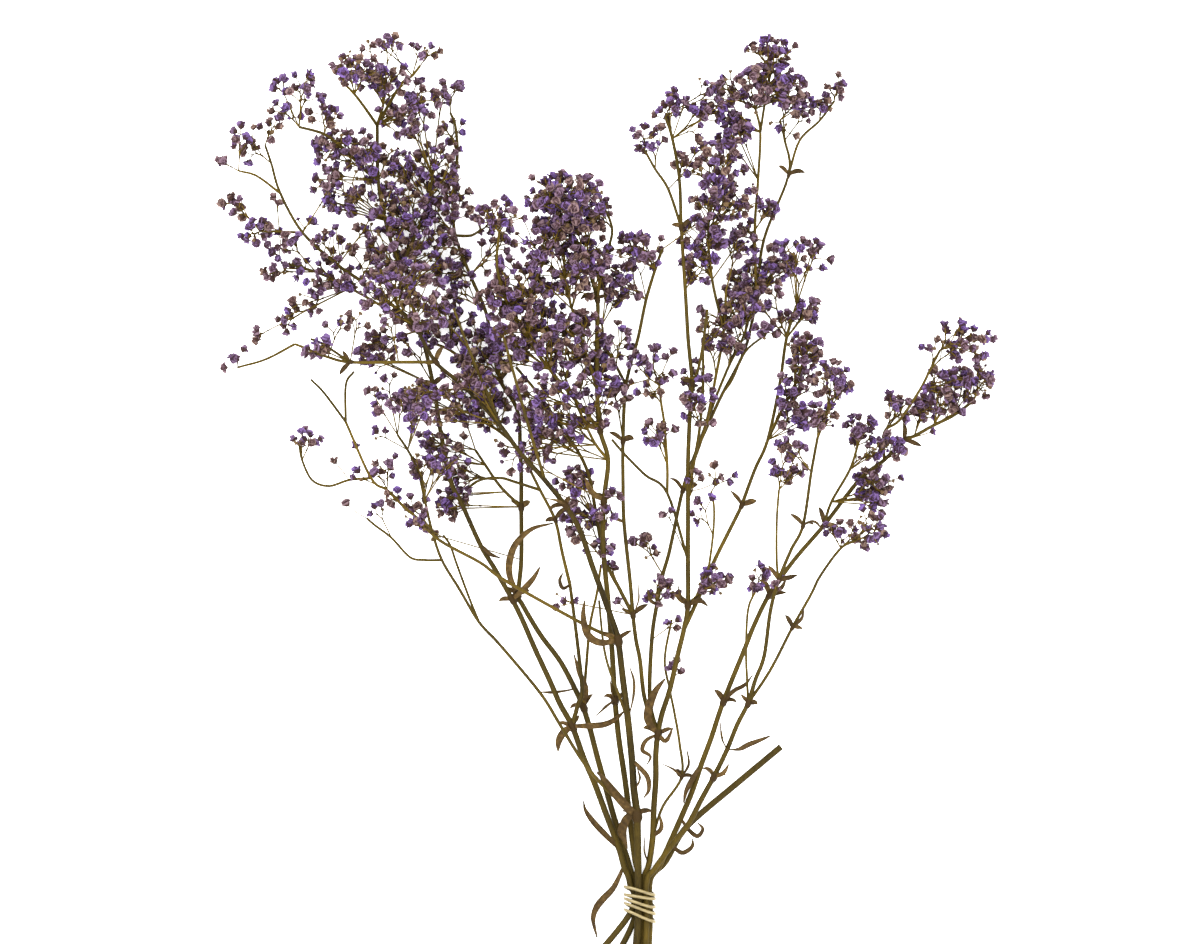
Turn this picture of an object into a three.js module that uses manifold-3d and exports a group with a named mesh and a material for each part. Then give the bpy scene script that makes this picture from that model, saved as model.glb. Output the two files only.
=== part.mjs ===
// Dried gypsophila: a tied bunch that lies on its side.
// Millimetres. +Y runs from the tie to the flower heads, +X to the viewer's right, +Z up from the
// surface that the bunch lies on. The origin is the middle of the tie's flat underside.
import * as THREE from "three";
import { mergeVertices } from "three/addons/utils/BufferGeometryUtils.js";
import Module from "manifold-3d";

// Driving dimensions
const MM_PER_PIXEL = 0.72; // size of one pixel of the photograph at the bunch
const TIE_IN_PHOTO = { x: 640, y: 905 }; // pixel of the tie's middle
const STEM_SIDES = 5;
const TWIG_SIDES = 3;
const TWIG_RADIUS = 0.7; // thinnest twigs
const TIE_ZONE = 15; // half the length over which the stems run close together
const FLORET_WIDTH = 10; // each stands for several small florets
const FLORET_LENGTH = 8;
const FLORETS_PER_TWIG_END = 16; // small florets that one large floret stands for in a loose spray
const FLORETS_PER_HEAD = 80; // and those that one head stands for in a dense spray
const DENSE_SPRAY = 20; // sprays of this many florets or more are made of heads
const SMALLEST_SPRAY = 7; // the solids leave out sprays of fewer florets
const HEAD_REACH = 16; // from the middle of a head to its florets' tips
const HEAD_FLORET_WIDTH = 14;
const HUB_RADIUS = 1.6;
const RIM_AT = 0.72; // share of a floret's length at which it is widest
const LOWEST_FLORET = 0.5 * FLORET_WIDTH; // height of a floret that lies on the surface
const LOWEST_TIP = 0.3;
const ROOT_BELOW = 16; // twigs leave the stem at least this far below their florets
const CLEARANCE = 0.45; // least gap between the pieces of different stems
const LEAF_THICKNESS = 0.8;
const NODE_SWELLING = 1.25; // the joints of a stem are this much thicker
const BAND = {
  width: 2.2,
  thickness: 1.7,
  // Place of each turn where it crosses the top, and how much it falls there towards +X
  crossings: [
    { y: 9.3, slant: 0.36 },
    { y: 4.75, slant: 0.2 },
    { y: -0.1, slant: 0.38 },
    { y: -3.7, slant: 0.43 },
    { y: -9.1, slant: 0.5 },
  ],
  insideX: 10.3,
  insideZ: 7.45,
  centreZ: 8.85,
  squareness: 0.77, // power that fills the corners of the round, 1 for none
};

// Stems as read from the photograph. Points are pixels of the photograph; heights, girths and the
// waist (x, z in the tie), low point and foot (its cut end) are millimetres. A route starts at the
// stem's nearest earlier point.
// A spray is [x, y, half width, half height, florets].
const STEMS = {
  left_outer: {
    colour: "#6f6133",
    waist: [-7.3, 8.75],
    low: [-7.3, -8, 8.75],
    foot: [-59, -69, 8],
    height: 34,
    girth: [4.7, 2.2],
    trunk: [
      [624, 868], [619, 850], [606, 815], [594, 783], [584, 760], [572, 727], [560, 705], [549, 680],
      [535, 650], [522, 620], [512, 600], [495, 570], [480, 545], [462, 505], [450, 480], [440, 430],
      [433, 385], [420, 330], [400, 270], [385, 220], [378, 180], [377, 125],
    ],
    routes: [
      { girth: [2.8, 2], height: 30, path: [[572, 727], [578, 705], [582, 690], [577, 640], [570, 585]] },
      { girth: [2.2, 1.6], height: 34, path: [[570, 585], [562, 552], [555, 520], [540, 490], [520, 450]] },
      { girth: [1.8, 1.5], height: 20, path: [[540, 490], [515, 482], [500, 478], [480, 480], [465, 490]] },
      { girth: [2.2, 1.6], height: 62, path: [[378, 180], [365, 170], [345, 150], [325, 135], [300, 128]] },
      { girth: [2, 1.5], height: 66, path: [[377, 125], [365, 108], [355, 95], [345, 85]] },
      { girth: [2, 1.5], height: 30, path: [[377, 125], [400, 85], [412, 75], [420, 65]] },
      { girth: [1.8, 1.5], height: 44, path: [[377, 125], [383, 105], [385, 85]] },
      {
        girth: [2.2, 1.4],
        height: 60,
        path: [
          [420, 330], [390, 303], [361, 281], [338, 265], [303, 233], [281, 194], [272, 164],
          [266, 146],
        ],
      },
      { girth: [1.8, 1.4], height: 40, path: [[420, 330], [385, 308], [350, 288], [316, 272], [281, 262]] },
      { girth: [1.6, 1.3], height: 68, path: [[281, 194], [258, 177], [240, 172]] },
      { girth: [1.6, 1.3], height: 62, path: [[303, 233], [280, 232], [262, 232]] },
      { girth: [2, 1.5], height: 24, path: [[400, 270], [415, 235], [428, 200], [432, 175]] },
    ],
    nodes: [[572, 727], [512, 600], [570, 585], [555, 520], [433, 385], [377, 125]],
    sprays: [
      [385, 46, 20, 10, 15], [422, 49, 10, 9, 9], [355, 66, 22, 14, 26], [383, 80, 24, 16, 34],
      [430, 92, 28, 15, 36], [303, 88, 25, 17, 24], [325, 112, 14, 14, 10], [286, 112, 12, 10, 7],
      [270, 128, 9, 10, 8], [246, 142, 13, 16, 12], [228, 164, 5, 6, 4], [235, 208, 15, 17, 11],
      [257, 235, 14, 13, 13], [305, 222, 8, 6, 3], [275, 205, 8, 6, 3], [270, 222, 6, 5, 3],
      [290, 245, 12, 10, 8], [350, 150, 27, 20, 52], [408, 120, 25, 18, 48], [385, 165, 26, 22, 40],
      [435, 172, 33, 27, 74], [345, 190, 30, 25, 62], [395, 205, 30, 20, 45],
      [400, 245, 55, 38, 150], [335, 245, 20, 20, 15], [275, 275, 9, 7, 8], [295, 268, 9, 7, 8],
      [320, 285, 14, 10, 14], [345, 280, 14, 12, 16], [290, 320, 12, 8, 8], [260, 335, 7, 6, 4],
      [375, 350, 20, 16, 22], [415, 335, 18, 20, 24],
    ],
    leaves: [
      { width: 4.5, lift: 8, path: [[619, 850], [605, 836], [592, 823], [585, 812], [583, 802]] },
      { width: 5, lift: 6, path: [[572, 727], [564, 733], [559, 742], [558, 752]] },
      { width: 4.6, lift: 12, path: [[572, 727], [593, 726], [606, 723], [617, 717], [625, 710]] },
      { width: 3.8, lift: 7, path: [[512, 600], [523, 590], [533, 579], [540, 567]] },
      { width: 2.6, lift: 6, path: [[570, 585], [563, 588], [560, 580], [563, 573]] },
      { width: 4.4, lift: -5, path: [[624, 868], [614, 889], [603, 901], [596, 910], [593, 922], [597, 940]] },
      { width: 3, lift: 4, path: [[480, 545], [489, 553], [500, 558]] },
    ],
  },
  left_second: {
    colour: "#75663a",
    waist: [-4.9, 4.3],
    low: [-4.9, -14.5, 4.3],
    foot: [-38, -74, 3],
    height: 22,
    girth: [4.5, 2],
    trunk: [
      [629, 866], [622, 844], [613, 815], [605, 786], [597, 757], [590, 730], [583, 708], [575, 690],
      [560, 662], [540, 635], [522, 605], [518, 595], [521, 560], [521, 507], [521, 480], [520, 450],
      [517, 410], [500, 380], [492, 345], [485, 310], [470, 275], [455, 235], [452, 200],
    ],
    routes: [
      { girth: [1.8, 1.5], height: 22, path: [[455, 235], [470, 235], [480, 230]] },
      { girth: [2, 1.5], height: 26, path: [[452, 200], [457, 155], [455, 125], [450, 112]] },
      { girth: [2, 1.5], height: 14, path: [[521, 507], [505, 492], [495, 480], [485, 465], [475, 450]] },
      { girth: [2, 1.5], height: 12, path: [[500, 380], [475, 370], [450, 350], [425, 340]] },
      { girth: [2, 1.5], height: 26, path: [[583, 708], [586, 670], [590, 626], [597, 593], [601, 565]] },
      { girth: [1.8, 1.4], height: 15, path: [[520, 450], [500, 432], [480, 420], [462, 415]] },
    ],
    nodes: [[583, 708], [518, 595], [521, 507], [500, 380]],
    sprays: [
      [450, 130, 9, 22, 8], [448, 205, 20, 26, 36], [450, 275, 22, 20, 34], [498, 248, 18, 12, 16],
      [480, 350, 32, 30, 84], [480, 222, 7, 9, 5], [445, 320, 25, 22, 54], [480, 405, 32, 25, 62],
      [440, 445, 26, 18, 32], [415, 400, 16, 20, 22], [453, 500, 15, 15, 24], [432, 535, 7, 5, 3],
    ],
    leaves: [
      { width: 4.6, lift: 10, path: [[518, 595], [510, 578], [509, 562], [515, 544], [531, 529], [553, 523]] },
      { width: 3.4, lift: 4, path: [[575, 690], [555, 694], [540, 693]] },
      { width: 3.6, lift: 5, path: [[583, 708], [586, 690], [579, 671], [574, 655]] },
      { width: 4.2, lift: 3, path: [[622, 844], [618, 834], [620, 824]] },
    ],
  },
  centre: {
    colour: "#8a7d50",
    waist: [-1.2, 12.8],
    low: [-1.2, -15, 12.8],
    foot: [-9, -92, 15],
    height: 104,
    girth: [5.6, 2.2],
    trunk: [
      [638, 860], [637, 816], [634, 790], [632, 760], [628, 720], [623, 680], [618, 640], [612, 620],
      [603, 595], [592, 565], [580, 530], [565, 505], [545, 480], [520, 452], [500, 425], [466, 388],
      [437, 363], [415, 325], [400, 310],
    ],
    routes: [
      {
        girth: [2, 1.5],
        height: 92,
        path: [
          [437, 363], [400, 363], [352, 363], [330, 358], [310, 350], [297, 345],
        ],
      },
      { girth: [1.6, 1.4], height: 84, path: [[297, 345], [268, 360], [240, 368]] },
      { girth: [1.6, 1.4], height: 100, path: [[352, 363], [325, 345], [313, 340]] },
      {
        girth: [2.2, 1.6],
        height: 78,
        path: [
          [618, 640], [600, 632], [580, 622], [540, 600], [500, 577], [480, 562], [440, 540],
          [418, 518], [405, 507], [388, 490], [372, 478], [347, 422],
        ],
      },
      { girth: [1.6, 1.4], height: 70, path: [[347, 422], [347, 385], [355, 372]] },
      { girth: [1.6, 1.4], height: 66, path: [[347, 422], [325, 393], [312, 380]] },
      {
        girth: [1.6, 1.4],
        height: 60,
        path: [
          [372, 478], [350, 480], [330, 486], [313, 480], [303, 460], [300, 445],
        ],
      },
      {
        girth: [2.2, 1.5],
        height: 56,
        path: [
          [637, 816], [612, 795], [585, 765], [560, 725], [540, 693], [500, 645], [479, 622],
          [460, 590], [442, 560], [432, 530], [425, 500], [418, 470], [408, 450], [398, 435],
        ],
      },
      {
        girth: [1.6, 1.4],
        height: 50,
        path: [
          [442, 560], [425, 560], [410, 557], [392, 538], [375, 525], [367, 518],
        ],
      },
      { girth: [1.6, 1.4], height: 36, path: [[479, 622], [470, 600], [457, 565], [450, 545], [443, 535]] },
      { girth: [1.8, 1.4], height: 60, path: [[628, 720], [617, 690], [608, 665], [603, 641], [599, 600]] },
      { girth: [2, 1.5], height: 118, path: [[545, 480], [530, 430], [516, 380], [505, 340]] },
      { girth: [1.8, 1.4], height: 112, path: [[500, 425], [470, 350], [455, 310]] },
    ],
    nodes: [[637, 816], [618, 640], [437, 363], [352, 363], [347, 422], [565, 505]],
    sprays: [
      [240, 355, 8, 5, 3], [230, 370, 4, 4, 1], [345, 325, 17, 10, 10], [325, 352, 10, 8, 10],
      [305, 440, 12, 9, 12], [380, 402, 14, 14, 12], [382, 435, 6, 5, 3], [430, 405, 34, 24, 64],
      [385, 470, 12, 9, 9], [358, 475, 6, 5, 3], [338, 465, 4, 4, 1], [360, 450, 4, 4, 1],
      [432, 462, 32, 12, 24], [395, 497, 8, 6, 6], [380, 511, 7, 5, 4], [348, 507, 4, 4, 1],
      [418, 505, 10, 8, 7], [405, 300, 45, 32, 110], [470, 385, 28, 20, 44],
    ],
    leaves: [
      { width: 6.5, lift: 8, path: [[637, 816], [628, 808], [617, 793], [606, 779], [597, 772]] },
      { width: 5.4, lift: -3, path: [[637, 816], [627, 819], [623, 832], [627, 850]] },
      { width: 5, lift: 9, path: [[618, 640], [600, 642], [588, 633], [584, 615], [585, 600]] },
      { width: 3.2, lift: 5, path: [[632, 760], [640, 768], [648, 778], [649, 790], [644, 798]] },
      { width: 3, lift: 5, path: [[628, 720], [632, 700], [633, 682], [630, 668]] },
      { width: 4, lift: 6, path: [[565, 505], [556, 501], [545, 498]] },
      { width: 3, lift: 5, path: [[634, 790], [639, 780], [637, 768]] },
    ],
  },
  mid_crown: {
    colour: "#6b5c2e",
    waist: [0, 4.3],
    low: [0, -15, 4.3],
    foot: [-13, -86, 3],
    height: 84,
    girth: [4.5, 2.4],
    trunk: [
      [635, 860], [630, 820], [625, 780], [619, 740], [615, 700], [612, 650], [608, 600], [603, 545],
      [604, 500], [608, 460], [600, 430], [597, 390], [597, 330], [597, 300], [585, 260], [570, 230],
    ],
    routes: [
      {
        girth: [2.2, 1.6],
        height: 96,
        path: [
          [600, 430], [575, 400], [550, 370], [530, 340], [530, 300], [545, 260],
        ],
      },
      { girth: [1.8, 1.5], height: 110, path: [[530, 340], [510, 310], [498, 270], [500, 235]] },
      { girth: [1.8, 1.5], height: 70, path: [[597, 300], [605, 260], [612, 230], [600, 200]] },
      { girth: [1.8, 1.5], height: 100, path: [[570, 230], [558, 210], [545, 195]] },
      { girth: [1.8, 1.4], height: 66, path: [[608, 460], [596, 445], [588, 430], [578, 408], [566, 380]] },
      { girth: [1.8, 1.4], height: 90, path: [[597, 390], [585, 350], [572, 310], [565, 280]] },
    ],
    nodes: [[604, 500], [600, 430], [597, 300], [615, 700]],
    sprays: [
      [567, 195, 38, 24, 112], [572, 226, 36, 18, 84], [505, 212, 26, 17, 26],
      [535, 240, 24, 20, 34], [570, 275, 40, 26, 90], [520, 290, 34, 26, 70], [535, 330, 34, 28, 82],
      [575, 335, 30, 28, 56], [595, 390, 22, 42, 54], [540, 395, 30, 28, 54], [512, 360, 12, 10, 10],
      [560, 430, 26, 24, 32], [525, 455, 24, 20, 20], [603, 510, 9, 8, 9],
    ],
    leaves: [
      { width: 4, lift: 6, path: [[604, 500], [592, 492], [585, 478]] },
      { width: 3.4, lift: 6, path: [[615, 700], [606, 708], [595, 717]] },
      { width: 3, lift: 5, path: [[615, 700], [611, 692], [610, 681]] },
    ],
  },
  tall_right: {
    colour: "#6d5f2c",
    waist: [2.45, 8.6],
    low: [2.45, -15, 8.6],
    foot: [-3, -80, 7],
    height: 72,
    girth: [4.6, 2],
    trunk: [
      [649, 866], [653, 838], [654, 810], [656, 780], [656, 755], [658, 735], [662, 715], [670, 690],
      [678, 655], [684, 630], [688, 605], [688, 560], [688, 500], [688, 460], [690, 410], [692, 383],
      [688, 340], [685, 290], [681, 228], [679, 180], [672, 140], [665, 118],
    ],
    routes: [
      { girth: [1.8, 1.5], height: 60, path: [[681, 228], [668, 190], [655, 170], [645, 152]] },
      { girth: [1.8, 1.5], height: 84, path: [[692, 383], [699, 365], [706, 320]] },
      {
        girth: [2.6, 1.8],
        height: 20,
        path: [
          [684, 630], [700, 595], [715, 560], [735, 520], [742, 505], [755, 470], [768, 440],
          [780, 385], [787, 338], [797, 305],
        ],
      },
      {
        girth: [2.6, 1.8],
        height: 20,
        path: [
          [658, 735], [650, 700], [652, 640], [657, 605], [663, 575], [670, 550], [683, 490],
          [695, 455], [706, 430], [722, 395], [745, 350], [757, 300],
        ],
      },
      { girth: [1.8, 1.5], height: 34, path: [[757, 300], [764, 240], [789, 174], [785, 140], [780, 120]] },
      { girth: [1.8, 1.5], height: 58, path: [[757, 300], [755, 230], [758, 180], [760, 133], [755, 110]] },
      { girth: [1.6, 1.4], height: 22, path: [[789, 174], [800, 140], [820, 120], [835, 100]] },
      { girth: [1.6, 1.4], height: 70, path: [[760, 133], [765, 100], [770, 75]] },
      {
        girth: [2.6, 1.8],
        height: 62,
        path: [
          [658, 735], [645, 700], [640, 660], [636, 640], [633, 615], [630, 580], [624, 522],
          [623, 480], [623, 441], [626, 385], [638, 338], [646, 300], [655, 270], [662, 250],
        ],
      },
      { girth: [1.8, 1.5], height: 84, path: [[688, 540], [667, 493], [645, 475], [625, 455], [612, 440]] },
      {
        girth: [2.4, 1.6],
        height: 48,
        path: [
          [633, 615], [620, 590], [605, 560], [597, 520], [590, 480], [580, 455], [560, 425],
          [540, 396], [516, 367],
        ],
      },
      {
        girth: [1.8, 1.4],
        height: 12,
        path: [
          [653, 838], [663, 808], [682, 778], [680, 745], [675, 715], [670, 690], [665, 660],
          [672, 620],
        ],
      },
      { girth: [2, 1.5], height: 44, path: [[683, 490], [704, 432], [716, 376], [724, 330], [726, 290]] },
      { girth: [1.8, 1.4], height: 64, path: [[667, 493], [667, 465], [664, 424], [661, 404], [659, 385]] },
      { girth: [1.6, 1.3], height: 46, path: [[700, 595], [708, 571], [713, 535], [714, 508], [711, 492]] },
      { girth: [1.8, 1.4], height: 66, path: [[626, 385], [616, 366], [605, 345], [602, 325]] },
      { girth: [1.8, 1.4], height: 56, path: [[768, 440], [785, 405], [795, 385], [803, 360]] },
      { girth: [1.8, 1.4], height: 64, path: [[724, 330], [712, 280], [708, 230], [715, 190]] },
    ],
    nodes: [
      [658, 735], [688, 605], [692, 383], [681, 228], [633, 615], [682, 778], [742, 505], [789, 174],
      [623, 441],
    ],
    sprays: [
      [638, 250, 28, 16, 34], [618, 285, 22, 22, 40], [650, 372, 20, 26, 26], [545, 430, 28, 26, 30],
      [572, 485, 20, 18, 28], [615, 345, 16, 24, 16], [615, 395, 12, 14, 12], [605, 548, 10, 9, 10],
      [612, 568, 6, 5, 3], [645, 545, 10, 8, 8], [620, 605, 4, 4, 1], [770, 50, 25, 17, 26],
      [770, 87, 34, 17, 76], [720, 97, 24, 18, 44], [675, 110, 14, 13, 18], [650, 140, 17, 13, 14],
      [712, 165, 34, 22, 62], [735, 130, 20, 14, 34], [722, 202, 30, 18, 60], [767, 211, 9, 7, 10],
      [702, 240, 22, 24, 46], [800, 102, 12, 10, 14], [822, 105, 8, 7, 8], [838, 88, 9, 8, 9],
      [742, 242, 18, 14, 26], [748, 282, 20, 16, 38], [770, 272, 17, 12, 22], [742, 308, 16, 16, 26],
      [766, 300, 14, 14, 20], [800, 258, 30, 18, 34], [808, 312, 13, 11, 16], [785, 318, 8, 6, 6],
      [722, 328, 26, 30, 60], [765, 335, 7, 6, 8], [698, 272, 14, 18, 20], [660, 433, 14, 12, 14],
      [690, 400, 10, 26, 12], [803, 352, 18, 18, 32], [795, 412, 17, 20, 34], [795, 382, 16, 14, 20],
      [712, 478, 20, 12, 9], [705, 503, 7, 6, 5], [668, 515, 6, 5, 2], [713, 580, 14, 15, 22],
      [670, 590, 8, 7, 6], [672, 627, 6, 5, 3], [675, 670, 6, 6, 3],
    ],
    leaves: [
      { width: 5.4, lift: 12, path: [[658, 735], [648, 720], [650, 704], [656, 690], [665, 679]] },
      { width: 3, lift: 6, path: [[658, 735], [646, 741], [642, 751], [650, 757], [647, 765]] },
      { width: 3.2, lift: 6, path: [[658, 735], [666, 741], [673, 728]] },
      { width: 3.6, lift: 5, path: [[688, 605], [700, 600], [708, 606]] },
      { width: 3.2, lift: 6, path: [[688, 605], [680, 597], [678, 586]] },
      { width: 3, lift: 5, path: [[682, 778], [688, 765], [687, 751]] },
      { width: 3, lift: 5, path: [[682, 778], [672, 770], [660, 764]] },
      { width: 3.2, lift: 5, path: [[653, 838], [661, 829], [660, 816]] },
      { width: 3, lift: 5, path: [[649, 866], [644, 853], [645, 838]] },
      { width: 2.8, lift: 5, path: [[633, 615], [638, 600], [638, 584]] },
      { width: 2.6, lift: 5, path: [[624, 522], [615, 517], [610, 508]] },
      { width: 2.6, lift: 4, path: [[657, 605], [651, 600], [648, 589]] },
    ],
  },
  right_spray: {
    colour: "#75683a",
    waist: [7.35, 8.6],
    low: [7.35, -15, 8.6],
    foot: [4, -90, 8],
    height: 23,
    girth: [4.5, 2],
    trunk: [
      [659, 869], [670, 845], [681, 820], [692, 794], [702, 765], [712, 738], [724, 702], [745, 650],
      [755, 625], [770, 595], [795, 560], [825, 525], [860, 480], [885, 460], [905, 440], [915, 436],
      [935, 425], [955, 415], [975, 400],
    ],
    routes: [
      {
        girth: [1.8, 1.5],
        height: 44,
        path: [
          [885, 460], [885, 432], [900, 420], [920, 390], [930, 370], [940, 350],
        ],
      },
      { girth: [1.8, 1.5], height: 36, path: [[825, 525], [832, 502], [850, 470], [858, 445]] },
    ],
    nodes: [[724, 702], [770, 595], [825, 525], [905, 440]],
    sprays: [
      [962, 340, 25, 19, 42], [958, 384, 36, 17, 62], [945, 402, 12, 8, 10], [925, 410, 13, 9, 18],
      [900, 407, 12, 14, 16], [887, 398, 4, 4, 1], [862, 427, 14, 12, 20], [869, 448, 20, 12, 22],
      [900, 452, 4, 4, 1], [874, 488, 17, 23, 52], [955, 412, 6, 6, 3], [933, 435, 4, 4, 1],
    ],
    leaves: [
      { width: 3.6, lift: 9, path: [[724, 702], [735, 690], [745, 684], [753, 675]] },
      { width: 3.4, lift: 4, path: [[702, 765], [694, 778], [687, 792], [684, 804]] },
      { width: 3, lift: 7, path: [[681, 820], [690, 832], [698, 837], [703, 830], [698, 824]] },
      { width: 3.2, lift: 3, path: [[669, 845], [682, 854], [692, 848], [693, 840]] },
      { width: 3, lift: 5, path: [[770, 595], [781, 588], [787, 578]] },
    ],
  },
  right_mid: {
    colour: "#7a6b38",
    waist: [4.9, 12.9],
    low: [4.9, -15, 12.9],
    foot: [2, -84, 14],
    height: 88,
    girth: [4.4, 1.9],
    trunk: [
      [655, 870], [673, 845], [688, 826], [701, 801], [714, 777], [727, 750], [737, 725], [748, 703],
      [755, 680], [764, 655], [770, 610], [778, 580], [790, 550], [802, 525], [810, 472], [816, 438],
    ],
    routes: [
      {
        girth: [2, 1.6],
        height: 66,
        path: [
          [748, 703], [770, 670], [792, 627], [810, 595], [820, 575], [840, 548], [855, 540],
        ],
      },
      { girth: [1.6, 1.4], height: 40, path: [[748, 703], [747, 680], [746, 650], [748, 610], [756, 590]] },
      { girth: [1.6, 1.4], height: 74, path: [[778, 580], [776, 560], [776, 520], [778, 490]] },
      { girth: [1.6, 1.4], height: 92, path: [[816, 438], [826, 412], [833, 395]] },
    ],
    nodes: [[748, 703], [778, 580], [802, 525], [792, 627], [714, 777]],
    sprays: [
      [832, 380, 16, 19, 30], [820, 415, 14, 13, 22], [788, 448, 13, 12, 18], [783, 475, 10, 8, 12],
      [757, 578, 8, 13, 9], [775, 585, 5, 5, 4], [835, 530, 10, 8, 12], [869, 530, 20, 15, 26],
    ],
    leaves: [
      { width: 4.8, lift: 7, path: [[727, 750], [740, 750], [752, 744], [770, 736]] },
      { width: 3.8, lift: 6, path: [[727, 750], [721, 738], [720, 722]] },
      { width: 3.2, lift: 5, path: [[714, 777], [723, 773], [729, 764]] },
      { width: 3.2, lift: 6, path: [[802, 525], [812, 522], [820, 528]] },
      { width: 2.8, lift: 5, path: [[792, 627], [800, 618], [803, 608]] },
    ],
  },
  cut_stem: {
    colour: "#7d6c38",
    waist: [4.9, 4.2],
    low: [4.9, -15, 4.2],
    foot: [2, -78, 3],
    height: 5,
    girth: [4.5, 4.2],
    trunk: [
      [665, 865], [680, 838], [696, 820], [740, 783], [782, 748],
    ],
    routes: [],
    nodes: [],
    sprays: [],
    leaves: [],
  },
};

const wasm = await Module();
wasm.setup();

// Small seeded generator of numbers from 0 to 1
function seeded(seed) {
  let state = seed >>> 0;
  return () => {
    state = (state + 0x6d2b79f5) >>> 0;
    let mixed = Math.imul(state ^ (state >>> 15), state | 1);
    mixed ^= mixed + Math.imul(mixed ^ (mixed >>> 7), mixed | 61);
    return ((mixed ^ (mixed >>> 14)) >>> 0) / 4294967296;
  };
}

function place([x, y], z = 0) {
  return new THREE.Vector3((x - TIE_IN_PHOTO.x) * MM_PER_PIXEL, (TIE_IN_PHOTO.y - y) * MM_PER_PIXEL, z);
}

// Closed mesh as a solid that can be joined
function solidOf(geometry) {
  const bare = geometry.clone();
  bare.deleteAttribute("normal");
  bare.deleteAttribute("uv");
  const merged = mergeVertices(bare, 1e-4);
  return new wasm.Manifold(
    new wasm.Mesh({
      numProp: 3,
      vertProperties: merged.attributes.position.array,
      triVerts: new Uint32Array(merged.index.array),
    }),
  );
}

// Directions of a path's points, and side directions carried along it without twist
function framesAlong(points) {
  const frames = [];
  let side = null;
  points.forEach((point, i) => {
    const before = points[Math.max(i - 1, 0)];
    const after = points[Math.min(i + 1, points.length - 1)];
    const along = after.clone().sub(before).normalize();
    if (!side) {
      const up = Math.abs(along.z) > 0.9 ? new THREE.Vector3(1, 0, 0) : new THREE.Vector3(0, 0, 1);
      side = up.clone().cross(along);
    }
    side = side.clone().addScaledVector(along, -side.dot(along)).normalize();
    frames.push({ point, side, up: along.clone().cross(side).normalize() });
  });
  return frames;
}

// Closed skin over rings of equal length. The far end is flat, or runs out in a point.
function skin(rings, apex = null) {
  const sides = rings[0].length;
  const position = rings.flat().flatMap((p) => [p.x, p.y, p.z]);
  const index = [];
  for (let r = 0; r + 1 < rings.length; r += 1) {
    for (let s = 0; s < sides; s += 1) {
      const a = r * sides + s;
      const b = r * sides + ((s + 1) % sides);
      index.push(a, b, b + sides, a, b + sides, a + sides);
    }
  }
  const last = (rings.length - 1) * sides;
  for (let s = 1; s + 1 < sides; s += 1) {
    index.push(0, s + 1, s);
    if (!apex) index.push(last, last + s, last + s + 1);
  }
  for (let s = 0; apex && s < sides; s += 1) {
    index.push(last + s, last + ((s + 1) % sides), rings.length * sides);
  }
  if (apex) position.push(apex.x, apex.y, apex.z);
  const geometry = new THREE.BufferGeometry();
  geometry.setAttribute("position", new THREE.Float32BufferAttribute(position, 3));
  geometry.setIndex(index);
  return geometry;
}

// Round tube through the points, with a radius at each
function tube(points, radii, sides) {
  const pointed = radii.at(-1) === 0;
  const frames = framesAlong(points).slice(0, pointed ? -1 : undefined);
  const rings = frames.map(({ point, side, up }, i) =>
    Array.from({ length: sides }, (_, s) => {
      const turn = (2 * Math.PI * s) / sides;
      return point
        .clone()
        .addScaledVector(side, radii[i] * Math.cos(turn))
        .addScaledVector(up, radii[i] * Math.sin(turn));
    }),
  );
  return skin(rings, pointed ? points.at(-1) : null);
}

// Thin blade through the points: flat section, widest at its middle
function blade(points, width) {
  const rings = framesAlong(points).map(({ point, side, up }, i) => {
    const share = i / (points.length - 1);
    const half = width * (0.22 + 0.28 * Math.sin(Math.PI * Math.min(1, share * 1.05 + 0.1)));
    const thin = LEAF_THICKNESS / 2;
    return [[-1, -1], [1, -1], [1, 1], [-1, 1]].map(([u, v]) =>
      point.clone().addScaledVector(side, u * half).addScaledVector(up, v * thin),
    );
  });
  return skin(rings);
}

// Shortest distance between two straight pieces a-b and c-d
function gapBetween(a, b, c, d) {
  const u = b.clone().sub(a);
  const v = d.clone().sub(c);
  const w = a.clone().sub(c);
  const uu = u.dot(u) || 1e-9;
  const vv = v.dot(v) || 1e-9;
  const uv = u.dot(v);
  const denominator = uu * vv - uv * uv;
  const clamp = (t) => THREE.MathUtils.clamp(t, 0, 1);
  let s = denominator > 1e-9 ? clamp((uv * v.dot(w) - vv * u.dot(w)) / denominator) : 0;
  const t = clamp((uv * s + v.dot(w)) / vv);
  s = clamp((uv * t - u.dot(w)) / uu);
  return w.addScaledVector(u, s).addScaledVector(v, -t).length();
}

// Everything placed so far, as straight round pieces with the stem that they belong to
const placed = [];

function worstGap(owner, pieces) {
  let worst = Infinity;
  for (const piece of pieces) {
    for (const other of placed) {
      if (other.owner === owner) continue;
      const reach = piece.radius + other.radius + CLEARANCE;
      if (Math.abs(piece.a.y - other.a.y) > reach + piece.length + other.length) continue;
      if (Math.abs(piece.a.x - other.a.x) > reach + piece.length + other.length) continue;
      worst = Math.min(worst, gapBetween(piece.a, piece.b, other.a, other.b) - reach);
      if (worst < 0) return worst;
    }
  }
  return worst;
}

function piecesAlong(owner, points, radii) {
  return points.slice(1).map((b, i) => ({
    owner,
    a: points[i],
    b,
    radius: Math.max(radii[i], radii[i + 1]),
    length: points[i].distanceTo(b),
  }));
}

// Heights rise evenly with the distance along a path
function raised(flat, startHeight, endHeight) {
  const run = [0];
  flat.slice(1).forEach((p, i) => run.push(run[i] + p.distanceTo(flat[i])));
  return flat.map((p, i) => {
    const share = run[i] / run.at(-1);
    return new THREE.Vector3(p.x, p.y, THREE.MathUtils.lerp(startHeight, endHeight, share));
  });
}

function girthAlong([start, end], count) {
  return Array.from({ length: count }, (_, i) => THREE.MathUtils.lerp(start, end, i / (count - 1)) / 2);
}

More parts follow.
